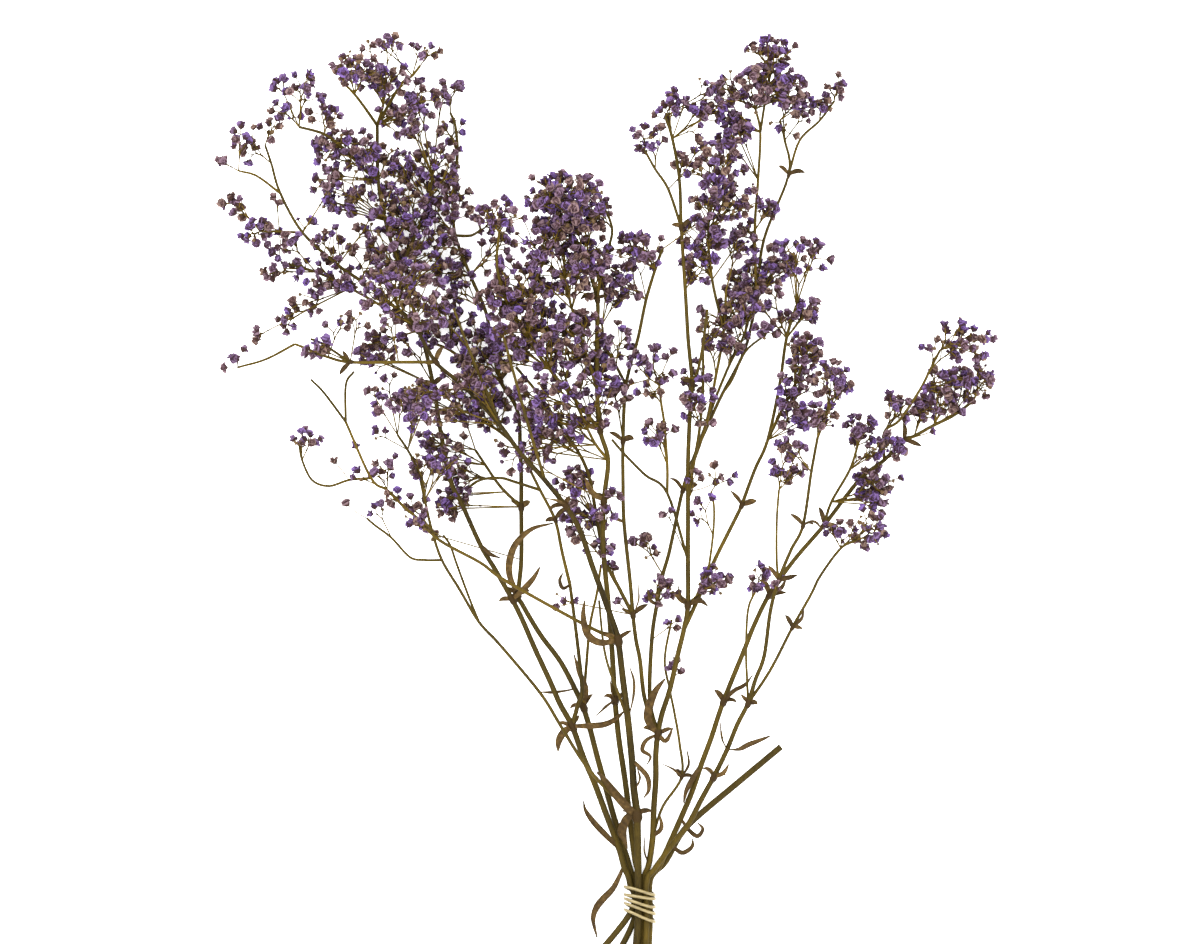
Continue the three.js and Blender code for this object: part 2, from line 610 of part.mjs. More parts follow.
function nearest(points, target) {
  const gaps = points.map((p) => p.distanceTo(target));
  return gaps.indexOf(Math.min(...gaps));
}

// Trunk of a stem: cut foot, straight run through the tie, then the traced points
function trunkOf(stem) {
  const [waistX, waistZ] = stem.waist;
  const foot = new THREE.Vector3(...stem.foot);
  const low = new THREE.Vector3(...stem.low);
  const high = new THREE.Vector3(waistX, TIE_ZONE, waistZ);
  const rise = raised([high, ...stem.trunk.map((p) => place(p))], waistZ, stem.height);
  return [foot, low, ...rise];
}

// All routes of a stem as paths with radii, each side route starting inside an earlier one
function routesOf(stem) {
  const trunk = trunkOf(stem);
  const routes = [{ points: trunk, radii: girthAlong(stem.girth, trunk.length), sides: STEM_SIDES }];
  const joints = stem.nodes.map((p) => place(p));
  for (const { girth, height, path } of stem.routes) {
    const known = routes.flatMap((route) => route.points);
    const flat = known.map((p) => new THREE.Vector3(p.x, p.y, 0));
    const start = known[nearest(flat, place(path[0]))];
    const points = raised([start, ...path.slice(1).map((p) => place(p))], start.z, height);
    routes.push({ points, radii: girthAlong(girth, points.length), sides: TWIG_SIDES });
  }
  for (const route of routes) {
    route.radii = route.radii.map((radius, i) => {
      const flat = new THREE.Vector3(route.points[i].x, route.points[i].y, 0);
      return joints.some((joint) => joint.distanceTo(flat) < 1) ? radius * NODE_SWELLING : radius;
    });
  }
  return routes;
}

// Evenly scattered points in a rounded space: each is the best of a few draws
function scatter([x, y, halfWidth, halfHeight], height, count, lowest, random) {
  const TRIES = 6;
  const centre = place([x, y], height);
  const reach = new THREE.Vector3(halfWidth, halfHeight, 0).multiplyScalar(MM_PER_PIXEL);
  reach.z = Math.min(24, 0.75 * Math.max(reach.x, reach.y) + 3);
  const points = [];
  for (let k = 0; k < count; k += 1) {
    let best = null;
    let bestGap = -1;
    for (let t = 0; t < TRIES; t += 1) {
      const turn = 2 * Math.PI * random();
      const lift = 2 * random() - 1;
      const out = Math.cbrt(random());
      const flat = Math.sqrt(1 - lift * lift);
      const drawn = new THREE.Vector3(flat * Math.cos(turn), flat * Math.sin(turn), lift);
      const point = drawn.multiplyScalar(out).multiply(reach).add(centre);
      point.z = Math.max(point.z, lowest);
      const gap = points.length ? Math.min(...points.map((p) => p.distanceTo(point))) : 1;
      if (gap > bestGap) {
        best = point;
        bestGap = gap;
      }
    }
    points.push(best);
  }
  return points;
}

function meanOf(points) {
  return points.reduce((sum, p) => sum.add(p), new THREE.Vector3()).divideScalar(points.length);
}

// Forks a twig again and again until each end carries one floret. The larger half goes on with
// the same twig, and the other starts a new one inside it.
function fork(chain, targets, chains) {
  const from = chain.points.at(-1);
  if (targets.length === 1) {
    chain.points.push(targets[0]);
    return;
  }
  const centre = meanOf(targets);
  const far = targets.reduce((best, p) => (p.distanceTo(centre) > best.distanceTo(centre) ? p : best));
  const radius = far.distanceTo(centre);
  const away = from.distanceTo(centre);
  const share = THREE.MathUtils.clamp(1 - (1.25 * radius) / away, 0.42, 0.9);
  const node = from.clone().lerp(centre, share);
  const axis = far.clone().sub(centre);
  const ahead = targets.filter((p) => p.clone().sub(centre).dot(axis) > 0);
  const behind = targets.filter((p) => p.clone().sub(centre).dot(axis) <= 0);
  const [larger, smaller] = ahead.length > behind.length ? [ahead, behind] : [behind, ahead];
  chain.points.push(node);
  fork(chain, larger, chains);
  const branch = { points: [node.clone()], parent: chain };
  chains.push(branch);
  fork(branch, smaller, chains);
}

// Targets in groups small enough for one twig
function groupsOf(targets, most) {
  if (targets.length <= most) return [targets];
  const centre = meanOf(targets);
  const far = targets.reduce((best, p) => (p.distanceTo(centre) > best.distanceTo(centre) ? p : best));
  const axis = far.clone().sub(centre);
  const ahead = targets.filter((p) => p.clone().sub(centre).dot(axis) > 0);
  const behind = targets.filter((p) => p.clone().sub(centre).dot(axis) <= 0);
  return [...groupsOf(ahead, most), ...groupsOf(behind, most)];
}

// Where a twig to these targets leaves the stem: near, and rather from below than from above
function rootFor(targets, known) {
  const centre = meanOf(targets);
  const outward = new THREE.Vector3(centre.x, centre.y, 0).normalize();
  const cost = (p) => {
    const step = p.clone().sub(centre);
    return step.length() + 1.5 * Math.max(0, step.dot(outward) + ROOT_BELOW);
  };
  return known.reduce((best, p) => (cost(p) < cost(best) ? p : best));
}

// A twig with its floret: the calyx widens from the twig's end and the petals close it flatly
function bloomOn(chain) {
  const points = [...chain.points];
  const end = points.at(-1);
  const along = end.clone().sub(points.at(-2)).normalize();
  if (Math.abs(along.z) > 0.8) along.setZ(along.z * 0.5).normalize();
  if (end.z + along.z * FLORET_LENGTH < LOWEST_FLORET) along.setZ(0).normalize();
  points.push(end.clone().addScaledVector(along, FLORET_LENGTH * RIM_AT));
  points.push(end.clone().addScaledVector(along, FLORET_LENGTH));
  const radii = chain.points.map(() => TWIG_RADIUS);
  radii[0] = TWIG_RADIUS * 1.1;
  radii.push(FLORET_WIDTH / 2, 0);
  return { points, radii };
}

// A loose spray: forked twigs with one floret at each end
function twigsOn(owner, spray, height, known, random) {
  const MOST_ON_ONE_TWIG = 9;
  const count = Math.max(1, Math.round(spray[4] / FLORETS_PER_TWIG_END));
  const targets = scatter(spray, height, count, LOWEST_FLORET, random);
  const chains = [];
  for (const group of groupsOf(targets, MOST_ON_ONE_TWIG)) {
    const chain = { points: [rootFor(group, known).clone()], parent: null };
    chains.push(chain);
    fork(chain, group, chains);
  }
  const kept = [];
  for (const chain of chains) {
    if (chain.parent && !kept.includes(chain.parent)) continue;
    const { points, radii } = bloomOn(chain);
    chain.pieces = piecesAlong(owner, points, radii);
    if (worstGap(owner, chain.pieces) < 0) continue;
    chain.shape = tube(points, radii, TWIG_SIDES);
    kept.push(chain);
  }
  return { kept, florets: kept.length, wanted: count };
}

// Corners of each face of an eight-sided hub, in the order that faces outwards. Corners 0 and 1
// are the ends of its first axis, 2 and 3 of its second, 4 and 5 of its third.
function hubFaces() {
  const ends = [0, 1];
  return ends.flatMap((x) =>
    ends.flatMap((y) =>
      ends.map((z) => {
        const corners = [x, 2 + y, 4 + z];
        return (x + y + z) % 2 ? corners.reverse() : corners;
      }),
    ),
  );
}

// How far a floret that leaves the hub this way may reach above the surface
function reachAbove(centre, out, wanted) {
  if (out.z >= 0) return wanted;
  const room = centre.z - LOWEST_TIP;
  const rim = room - (HEAD_FLORET_WIDTH / 2) * Math.sqrt(1 - out.z * out.z);
  return Math.min(wanted, room / -out.z, rim / (-out.z * RIM_AT));
}

// A head: a small hub that grows out from every face, from one into its stalk and from each other
// one into a floret. The faces look away from each other, so no two florets of a head meet.
function headOn(owner, root, centre, random) {
  const away = root.clone().sub(centre).normalize();
  const turn = new THREE.Quaternion().setFromUnitVectors(new THREE.Vector3(1, 1, 1).normalize(), away);
  turn.premultiply(new THREE.Quaternion().setFromAxisAngle(away, 2 * Math.PI * random()));
  const points = [[1, 0, 0], [-1, 0, 0], [0, 1, 0], [0, -1, 0], [0, 0, 1], [0, 0, -1]].map((corner) =>
    new THREE.Vector3(...corner).multiplyScalar(HUB_RADIUS).applyQuaternion(turn).add(centre),
  );
  const index = [];
  const ringOut = (face, middle, radius) => {
    const heart = meanOf(face.map((corner) => points[corner]));
    const ring = face.map((corner) => {
      const side = points[corner].clone().sub(heart).normalize();
      return points.push(middle.clone().addScaledVector(side, radius)) - 1;
    });
    for (let s = 0; s < 3; s += 1) {
      const next = (s + 1) % 3;
      index.push(face[s], face[next], ring[next], face[s], ring[next], ring[s]);
    }
    return ring;
  };
  const [stalkFace, ...faces] = hubFaces();
  const pieces = piecesAlong(owner, [root, centre], [TWIG_RADIUS, HUB_RADIUS]);
  if (worstGap(owner, pieces) < 0) return null;
  index.push(...ringOut(stalkFace, root, TWIG_RADIUS));
  for (const face of faces) {
    const out = meanOf(face.map((corner) => points[corner])).sub(centre).normalize();
    const reach = reachAbove(centre, out, HEAD_REACH * (0.75 + 0.35 * random()));
    const tip = centre.clone().addScaledVector(out, reach);
    const [floret] = piecesAlong(owner, [centre, tip], [HEAD_FLORET_WIDTH / 2, 0]);
    if (reach < 0.6 * HEAD_REACH || worstGap(owner, [floret]) < 0) {
      index.push(...face);
      continue;
    }
    const middle = centre.clone().addScaledVector(out, reach * RIM_AT);
    const rim = ringOut(face, middle, HEAD_FLORET_WIDTH / 2);
    const last = points.push(tip) - 1;
    rim.forEach((corner, s) => index.push(corner, rim[(s + 1) % 3], last));
    pieces.push(floret);
  }
  const shape = new THREE.BufferGeometry().setFromPoints(points);
  shape.setIndex(index);
  return { pieces, shape };
}

// A dense spray: heads of seven florets on long stalks
function headsOn(owner, [x, y, halfWidth, halfHeight, florets], height, known, random) {
  const margin = (0.75 * HEAD_REACH) / MM_PER_PIXEL;
  const room = [x, y, Math.max(3, halfWidth - margin), Math.max(3, halfHeight - margin)];
  const count = Math.max(1, Math.round(florets / FLORETS_PER_HEAD));
  const centres = scatter(room, height, count, 0.7 * HEAD_REACH, random);
  const heads = centres.map((centre) => headOn(owner, rootFor([centre], known), centre, random));
  const kept = heads.filter(Boolean);
  const grown = kept.reduce((sum, head) => sum + head.pieces.length - 1, 0);
  return { kept, florets: grown, wanted: 7 * count };
}

// One spray at the height, of those tried, where most of it stays clear of the other stems
function sprayOn(owner, spray, known, seed) {
  const SHIFTS = [0, 7, -7, 14, -14, 22, 30];
  const root = known[nearest(known.map((p) => new THREE.Vector3(p.x, p.y, 0)), place(spray))];
  const make = spray[4] < DENSE_SPRAY ? twigsOn : headsOn;
  let best = null;
  for (const shift of SHIFTS) {
    const made = make(owner, spray, Math.max(root.z + shift, 12), known, seeded(seed));
    if (!best || made.florets > best.florets) best = made;
    if (best.florets >= best.wanted) break;
  }
  placed.push(...best.kept.flatMap(({ pieces }) => pieces));
  return best.kept.map(({ shape }) => shape);
}

function leafOn(owner, { width, lift, path }, known) {
  const flat = known.map((p) => new THREE.Vector3(p.x, p.y, 0));
  const start = known[nearest(flat, place(path[0]))];
  const points = raised([start, ...path.slice(1).map((p) => place(p))], start.z, start.z + lift);
  points.forEach((p, i) => {
    p.z += lift * 0.6 * Math.sin((Math.PI * i) / (points.length - 1));
  });
  const pieces = piecesAlong(owner, points, points.map(() => width / 2));
  if (worstGap(owner, pieces) < 0) return null;
  placed.push(...pieces);
  return blade(points, width);
}

function join(geometries) {
  return geometryOf(wasm.Manifold.union(geometries.map(solidOf)).simplify(0.05));
}

function geometryOf(solid) {
  const { vertProperties, triVerts } = solid.getMesh();
  const geometry = new THREE.BufferGeometry();
  geometry.setAttribute("position", new THREE.Float32BufferAttribute(vertProperties, 3));
  geometry.setIndex(new THREE.Uint32BufferAttribute(triVerts, 1));
  return geometry;
}

// Place and slant of the band after this many turns, read between its crossings
function windingAt(turns) {
  const last = BAND.crossings.length - 2;
  const before = THREE.MathUtils.clamp(Math.floor(turns - 0.5), 0, last);
  const share = turns - 0.5 - before;
  const [a, b] = BAND.crossings.slice(before, before + 2);
  const slant = THREE.MathUtils.lerp(a.slant, b.slant, share);
  return { y: THREE.MathUtils.lerp(a.y, b.y, share), slant };
}

// The tie: a narrow flat band wound round the waist, pressed flat where it meets the surface
function tieShape() {
  const STEPS = 16; // for each turn
  const half = BAND.width / 2;
  const filled = (v) => Math.sign(v) * Math.abs(v) ** BAND.squareness;
  const rings = Array.from({ length: BAND.crossings.length * STEPS + 1 }, (_, s) => {
    const turn = (2 * Math.PI * s) / STEPS + Math.PI / 2;
    const { y, slant } = windingAt(s / STEPS);
    const corner = (out, dy) => {
      const x = -(BAND.insideX + out) * filled(Math.cos(turn));
      const z = BAND.centreZ - (BAND.insideZ + out) * filled(Math.sin(turn));
      return new THREE.Vector3(x, y + dy - slant * x, z);
    };
    return [corner(0, -half), corner(BAND.thickness, -half), corner(BAND.thickness, half), corner(0, half)];
  });
  const surface = new THREE.BoxGeometry(80, 80, 10).translate(0, 0, -5);
  return geometryOf(solidOf(skin(rings)).subtract(solidOf(surface)));
}

function meshOf(name, geometry, colour) {
  const material = new THREE.MeshStandardMaterial({ color: colour, roughness: 0.85, metalness: 0 });
  const mesh = new THREE.Mesh(geometry, material);
  mesh.name = name;
  return mesh;
}

const bunch = new THREE.Group();
const names = Object.keys(STEMS);
const routes = Object.fromEntries(names.map((name) => [name, routesOf(STEMS[name])]));
for (const name of names) {
  for (const route of routes[name]) {
    placed.push(...piecesAlong(name, route.points, route.radii));
  }
}
names.forEach((name, order) => {
  const stem = STEMS[name];
  const known = routes[name].flatMap((route) => route.points.slice(1));
  const shapes = routes[name].map(({ points, radii, sides }) => tube(points, radii, sides));
  const leaves = stem.leaves.map((leaf) => leafOn(name, leaf, known)).filter(Boolean);
  const drawn = stem.sprays.filter((spray) => spray[4] >= SMALLEST_SPRAY);
  const sprays = drawn.flatMap((spray, i) => sprayOn(name, spray, known.slice(2), 1000 * order + i + 1));
  bunch.add(meshOf(name, join([...shapes, ...leaves, ...sprays]), stem.colour));
});
bunch.add(meshOf("tie", tieShape(), "#d8c596"));

export default bunch;
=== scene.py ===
"""Dried gypsophila: the looks of a tied bunch that lies on a pale surface.

The stems, branches and heads follow the same plan as the solid model, and every twig,
floret, leaf and turn of the tie is made here as a fine surface. Lengths are in millimetres, or in
pixels of the photograph where they are named so. Blender works in metres.
"""

from __future__ import annotations

import logging
import math
from dataclasses import dataclass, field
from enum import Enum
from typing import Callable, Sequence

import bpy
import numpy as np
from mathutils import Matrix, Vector
from numpy.typing import NDArray

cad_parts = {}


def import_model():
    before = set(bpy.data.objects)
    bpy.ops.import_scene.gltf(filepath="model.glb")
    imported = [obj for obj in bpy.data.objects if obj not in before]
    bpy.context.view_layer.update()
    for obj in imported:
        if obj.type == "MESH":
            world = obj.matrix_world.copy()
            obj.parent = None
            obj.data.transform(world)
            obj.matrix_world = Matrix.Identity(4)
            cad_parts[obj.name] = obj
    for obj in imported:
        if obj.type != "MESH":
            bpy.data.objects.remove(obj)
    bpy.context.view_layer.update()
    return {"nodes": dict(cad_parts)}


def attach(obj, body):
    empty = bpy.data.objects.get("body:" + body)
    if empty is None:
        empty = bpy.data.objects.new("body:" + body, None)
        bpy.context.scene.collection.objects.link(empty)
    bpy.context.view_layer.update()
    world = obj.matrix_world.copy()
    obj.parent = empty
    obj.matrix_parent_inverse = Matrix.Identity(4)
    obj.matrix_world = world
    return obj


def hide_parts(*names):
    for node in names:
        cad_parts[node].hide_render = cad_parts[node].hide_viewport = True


LOG = logging.getLogger("gypsophila")
Array = NDArray[np.float64]
Draw = Callable[[], float]
Pixel = tuple[float, float]
Socket = bpy.types.NodeSocket
Spray = tuple[float, float, float, float, int]
Patches = tuple[Array, Array, Array]
Shades = tuple[tuple[float, str], ...]

# Scale, and where the part's origin and the frame's edges are in the photograph
MM = 0.001
MM_PER_PIXEL = 0.72
TIE_IN_PHOTO: Pixel = (640, 905)
PHOTO_SIZE = (1181, 944)

# Driving dimensions of the bunch, in mm
TIE_ZONE = 15  # half the straight run of the stems through the tie
LOWEST_POINT = 0.02  # nothing reaches lower than this above the surface
FLORET_RADIUS = 3.3
LOWEST_FLORET = 3.2
HIGHEST_FLORET = 114.5
PEDICEL_RADIUS = 0.38

# Choices that the kinds of surface share
PETALS = 6
BUD_TONE = 1.8  # tone that marks a bud, where open florets have tones from 0 to 1
LARGEST_WORD = 0xFFFFFFFF  # all 32 bits of the random numbers' state


class Part(Enum):
    """The kinds of surface that a stem is made of."""

    WOOD = "stems"
    FLORET = "florets"
    LEAF = "leaves"


@dataclass(frozen=True)
class Route:
    """A branch: girths at both ends and the height of its far end in mm, and its pixels."""

    girth: tuple[float, float]
    height: float
    path: Sequence[Pixel]


@dataclass(frozen=True)
class LeafPlan:
    """A dried leaf: its width, how far its tip lifts, and its pixels from the stem outwards."""

    width: float
    lift: float
    path: Sequence[Pixel]


@dataclass(frozen=True)
class StemPlan:
    """One cut stem. Waist, low point and foot are mm; trunk, joints and sprays are pixels.

    A spray is x, y, half width, half height and its number of florets.
    """

    name: str
    waist: tuple[float, float]
    low: tuple[float, float, float]
    foot: tuple[float, float, float]
    height: float
    girth: tuple[float, float]
    trunk: Sequence[Pixel]
    routes: Sequence[Route] = ()
    joints: Sequence[Pixel] = ()
    sprays: Sequence[Spray] = ()
    leaves: Sequence[LeafPlan] = ()


PLANS = (
    StemPlan(
        name="left_outer",
        waist=(-7.3, 8.75),
        low=(-7.3, -8, 8.75),
        foot=(-59, -69, 8),
        height=34,
        girth=(4.7, 2.2),
        trunk=[
            (624, 868), (619, 850), (606, 815), (594, 783), (584, 760), (572, 727), (560, 705),
            (549, 680), (535, 650), (522, 620), (512, 600), (495, 570), (480, 545), (462, 505),
            (450, 480), (440, 430), (433, 385), (420, 330), (400, 270), (385, 220), (378, 180),
            (377, 125),
        ],
        routes=[
            Route((2.8, 2), 30, [(572, 727), (578, 705), (582, 690), (577, 640), (570, 585)]),
            Route((2.2, 1.6), 34, [(570, 585), (562, 552), (555, 520), (540, 490), (520, 450)]),
            Route((1.8, 1.5), 20, [(540, 490), (515, 482), (500, 478), (480, 480), (465, 490)]),
            Route((2.2, 1.6), 62, [(378, 180), (365, 170), (345, 150), (325, 135), (300, 128)]),
            Route((2, 1.5), 66, [(377, 125), (365, 108), (355, 95), (345, 85)]),
            Route((2, 1.5), 30, [(377, 125), (400, 85), (412, 75), (420, 65)]),
            Route((1.8, 1.5), 44, [(377, 125), (383, 105), (385, 85)]),
            Route((2.2, 1.4), 60, [
                (420, 330), (390, 303), (361, 281), (338, 265), (303, 233), (281, 194), (272, 164),
                (266, 146),
            ]),
            Route((1.8, 1.4), 40, [(420, 330), (385, 308), (350, 288), (316, 272), (281, 262)]),
            Route((1.6, 1.3), 68, [(281, 194), (258, 177), (240, 172)]),
            Route((1.6, 1.3), 62, [(303, 233), (280, 232), (262, 232)]),
            Route((2, 1.5), 24, [(400, 270), (415, 235), (428, 200), (432, 175)]),
        ],
        joints=[(572, 727), (512, 600), (570, 585), (555, 520), (433, 385), (377, 125)],
        sprays=[
            (385, 46, 20, 10, 15), (422, 49, 10, 9, 9), (355, 70, 24, 14, 34),
            (383, 80, 24, 16, 34), (426, 96, 26, 13, 22), (300, 90, 22, 15, 18),
            (325, 112, 14, 14, 10), (286, 112, 12, 10, 7), (270, 128, 9, 10, 8),
            (246, 142, 13, 16, 12), (228, 164, 5, 6, 4), (235, 208, 15, 17, 11),
            (257, 235, 14, 13, 13), (305, 222, 8, 6, 3), (275, 205, 8, 6, 3), (270, 222, 6, 5, 3),
            (290, 245, 12, 10, 8), (350, 150, 27, 20, 52), (408, 120, 25, 18, 36),
            (385, 165, 26, 22, 32), (432, 174, 33, 27, 56), (345, 190, 30, 25, 54),
            (395, 205, 30, 20, 45), (400, 245, 55, 38, 138), (335, 245, 20, 20, 15),
            (275, 275, 9, 7, 8), (295, 268, 9, 7, 8), (320, 285, 14, 10, 14),
            (345, 280, 14, 12, 16), (290, 320, 12, 8, 8), (260, 335, 7, 6, 4),
            (375, 350, 20, 16, 26), (415, 335, 18, 20, 18),
            (300, 300, 16, 12, 7), (275, 245, 10, 12, 5),
        ],
        leaves=[
            LeafPlan(4.5, 8, [(619, 850), (605, 836), (592, 823), (585, 812), (583, 802)]),
            LeafPlan(5, 6, [(572, 727), (564, 733), (559, 742), (558, 752)]),
            LeafPlan(4.6, 12, [(572, 727), (593, 726), (606, 723), (617, 717), (625, 710)]),
            LeafPlan(3.8, 7, [(512, 600), (523, 590), (533, 579), (540, 567)]),
            LeafPlan(2.6, 6, [(570, 585), (563, 588), (560, 580), (563, 573)]),
            LeafPlan(4.4, -5, [(624, 868), (614, 889), (603, 901), (596, 910), (593, 922), (597, 940)]),
            LeafPlan(3, 4, [(480, 545), (489, 553), (500, 558)]),
        ],
    ),
    StemPlan(
        name="left_second",
        waist=(-4.9, 4.3),
        low=(-4.9, -14.5, 4.3),
        foot=(-38, -74, 3),
        height=22,
        girth=(4.5, 2),
        trunk=[
            (629, 866), (622, 844), (613, 815), (605, 786), (597, 757), (590, 730), (583, 708),
            (575, 690), (560, 662), (540, 635), (522, 605), (518, 595), (521, 560), (521, 507),
            (521, 480), (520, 450), (517, 410), (500, 380), (492, 345), (485, 310), (470, 275),
            (455, 235), (452, 200),
        ],
        routes=[
            Route((1.8, 1.5), 22, [(455, 235), (470, 235), (480, 230)]),
            Route((2, 1.5), 26, [(452, 200), (457, 155), (455, 125), (450, 112)]),
            Route((2, 1.5), 14, [(521, 507), (505, 492), (495, 480), (485, 465), (475, 450)]),
            Route((2, 1.5), 12, [(500, 380), (475, 370), (450, 350), (425, 340)]),
            Route((2, 1.5), 26, [(583, 708), (586, 670), (590, 626), (597, 593), (601, 565)]),
            Route((1.8, 1.4), 15, [(520, 450), (500, 432), (480, 420), (462, 415)]),
        ],
        joints=[(583, 708), (518, 595), (521, 507), (500, 380)],
        sprays=[
            (450, 130, 9, 22, 8), (448, 205, 20, 26, 36), (450, 275, 22, 20, 34),
            (498, 248, 18, 12, 16), (480, 350, 32, 30, 72), (480, 222, 7, 9, 5),
            (445, 320, 25, 22, 38), (480, 405, 32, 25, 62), (440, 445, 26, 18, 32),
            (415, 400, 16, 20, 22), (453, 500, 15, 15, 24), (432, 535, 7, 5, 3),
            (448, 90, 12, 8, 8), (460, 474, 17, 14, 18),
            (488, 224, 6, 6, 5),
        ],
        leaves=[
            LeafPlan(4.6, 10, [(518, 595), (510, 578), (509, 562), (515, 544), (531, 529), (553, 523)]),
            LeafPlan(3.4, 4, [(575, 690), (555, 694), (540, 693)]),
            LeafPlan(3.6, 5, [(583, 708), (586, 690), (579, 671), (574, 655)]),
            LeafPlan(4.2, 3, [(622, 844), (618, 834), (620, 824)]),
        ],
    ),
    StemPlan(
        name="centre",
        waist=(-1.2, 12.8),
        low=(-1.2, -15, 12.8),
        foot=(-9, -92, 15),
        height=104,
        girth=(5.6, 2.2),
        trunk=[
            (638, 860), (637, 816), (634, 790), (632, 760), (628, 720), (623, 680), (618, 640),
            (612, 620), (603, 595), (592, 565), (580, 530), (565, 505), (545, 480), (520, 452),
            (500, 425), (466, 388), (437, 363), (415, 325), (400, 310),
        ],
        routes=[
            Route((2, 1.5), 92, [
                (437, 363), (400, 363), (352, 363), (330, 358), (310, 350), (297, 345),
            ]),
            Route((1.6, 1.4), 84, [(297, 345), (268, 360), (240, 368)]),
            Route((1.6, 1.4), 100, [(352, 363), (325, 345), (313, 340)]),
            Route((2.2, 1.6), 78, [
                (618, 640), (600, 632), (580, 622), (540, 600), (500, 577), (480, 562), (440, 540),
                (418, 518), (405, 507), (388, 490), (372, 478), (347, 422),
            ]),
            Route((1.6, 1.4), 70, [(347, 422), (347, 385), (355, 372)]),
            Route((1.6, 1.4), 66, [(347, 422), (325, 393), (312, 380)]),
            Route((1.6, 1.4), 60, [
                (372, 478), (350, 480), (330, 486), (313, 480), (303, 460), (300, 445),
            ]),
            Route((2.2, 1.5), 56, [
                (637, 816), (612, 795), (585, 765), (560, 725), (540, 693), (500, 645), (479, 622),
                (460, 590), (442, 560), (432, 530), (425, 500), (418, 470), (408, 450), (398, 435),
            ]),
            Route((1.6, 1.4), 50, [
                (442, 560), (425, 560), (410, 557), (392, 538), (375, 525), (367, 518),
            ]),
            Route((1.6, 1.4), 36, [(479, 622), (470, 600), (457, 565), (450, 545), (443, 535)]),
            Route((1.8, 1.4), 60, [(628, 720), (617, 690), (608, 665), (603, 641), (599, 600)]),
            Route((2, 1.5), 118, [(545, 480), (530, 430), (516, 380), (505, 340)]),
            Route((1.8, 1.4), 112, [(500, 425), (470, 350), (455, 310)]),
        ],
        joints=[(637, 816), (618, 640), (437, 363), (352, 363), (347, 422), (565, 505)],
        sprays=[
            (240, 355, 8, 5, 3), (230, 370, 4, 4, 1), (345, 325, 17, 10, 10),
            (325, 352, 10, 8, 10), (305, 440, 12, 9, 12), (380, 402, 14, 14, 12),
            (382, 435, 6, 5, 3), (430, 405, 34, 24, 50), (385, 470, 12, 9, 9), (358, 475, 6, 5, 3),
            (338, 465, 4, 4, 1), (360, 450, 4, 4, 1), (432, 462, 32, 12, 24), (395, 497, 8, 6, 6),
            (380, 511, 7, 5, 4), (348, 507, 4, 4, 1), (418, 505, 10, 8, 7),
            (405, 300, 45, 32, 92), (470, 385, 28, 20, 36), (418, 520, 14, 10, 8), (504, 334, 9, 8, 8),
        ],
        leaves=[
            LeafPlan(6.5, 8, [(637, 816), (628, 808), (617, 793), (606, 779), (597, 772)]),
            LeafPlan(5.4, -3, [(637, 816), (627, 819), (623, 832), (627, 850)]),
            LeafPlan(5, 9, [(618, 640), (600, 642), (588, 633), (584, 615), (585, 600)]),
            LeafPlan(3.2, 5, [(632, 760), (640, 768), (648, 778), (649, 790), (644, 798)]),
            LeafPlan(3, 5, [(628, 720), (632, 700), (633, 682), (630, 668)]),
            LeafPlan(4, 6, [(565, 505), (556, 501), (545, 498)]),
            LeafPlan(3, 5, [(634, 790), (639, 780), (637, 768)]),
        ],
    ),
    StemPlan(
        name="mid_crown",
        waist=(0, 4.3),
        low=(0, -15, 4.3),
        foot=(-13, -86, 3),
        height=84,
        girth=(4.5, 2.4),
        trunk=[
            (635, 860), (630, 820), (625, 780), (619, 740), (615, 700), (612, 650), (608, 600),
            (603, 545), (604, 500), (608, 460), (600, 430), (597, 390), (597, 330), (597, 300),
            (585, 260), (570, 230),
        ],
        routes=[
            Route((2.2, 1.6), 96, [
                (600, 430), (575, 400), (550, 370), (530, 340), (530, 300), (545, 260),
            ]),
            Route((1.8, 1.5), 110, [(530, 340), (510, 310), (498, 270), (500, 235)]),
            Route((1.8, 1.5), 70, [(597, 300), (605, 260), (612, 230), (600, 200)]),
            Route((1.8, 1.5), 100, [(570, 230), (558, 210), (545, 195)]),
            Route((1.8, 1.4), 66, [(608, 460), (596, 445), (588, 430), (578, 408), (566, 380)]),
            Route((1.8, 1.4), 90, [(597, 390), (585, 350), (572, 310), (565, 280)]),
        ],
        joints=[(604, 500), (600, 430), (597, 300), (615, 700)],
        sprays=[
            (567, 201, 38, 23, 112), (572, 226, 36, 18, 84), (503, 218, 26, 18, 26),
            (535, 240, 24, 20, 34), (570, 275, 40, 26, 90), (520, 290, 34, 26, 70),
            (535, 330, 34, 28, 82), (575, 335, 30, 28, 56), (595, 390, 22, 42, 54),
            (540, 400, 30, 26, 40), (512, 360, 12, 10, 10), (560, 430, 26, 24, 32),
            (525, 455, 24, 20, 20), (603, 510, 9, 8, 9), (602, 216, 6, 14, 8), (580, 252, 30, 16, 34),
            (498, 305, 18, 18, 24), (555, 352, 32, 20, 30),
        ],
        leaves=[
            LeafPlan(4, 6, [(604, 500), (592, 492), (585, 478)]),
            LeafPlan(3.4, 6, [(615, 700), (606, 708), (595, 717)]),
            LeafPlan(3, 5, [(615, 700), (611, 692), (610, 681)]),
        ],
    ),
    StemPlan(
        name="tall_right",
        waist=(2.45, 8.6),
        low=(2.45, -15, 8.6),
        foot=(-3, -80, 7),
        height=72,
        girth=(4.6, 2),
        trunk=[
            (649, 866), (653, 838), (654, 810), (656, 780), (656, 755), (658, 735), (662, 715),
            (670, 690), (678, 655), (684, 630), (688, 605), (688, 560), (688, 500), (688, 460),
            (690, 410), (692, 383), (688, 340), (685, 290), (681, 228), (679, 180), (672, 140),
            (665, 118),
        ],
        routes=[
            Route((1.8, 1.5), 60, [(681, 228), (668, 190), (655, 170), (645, 152)]),
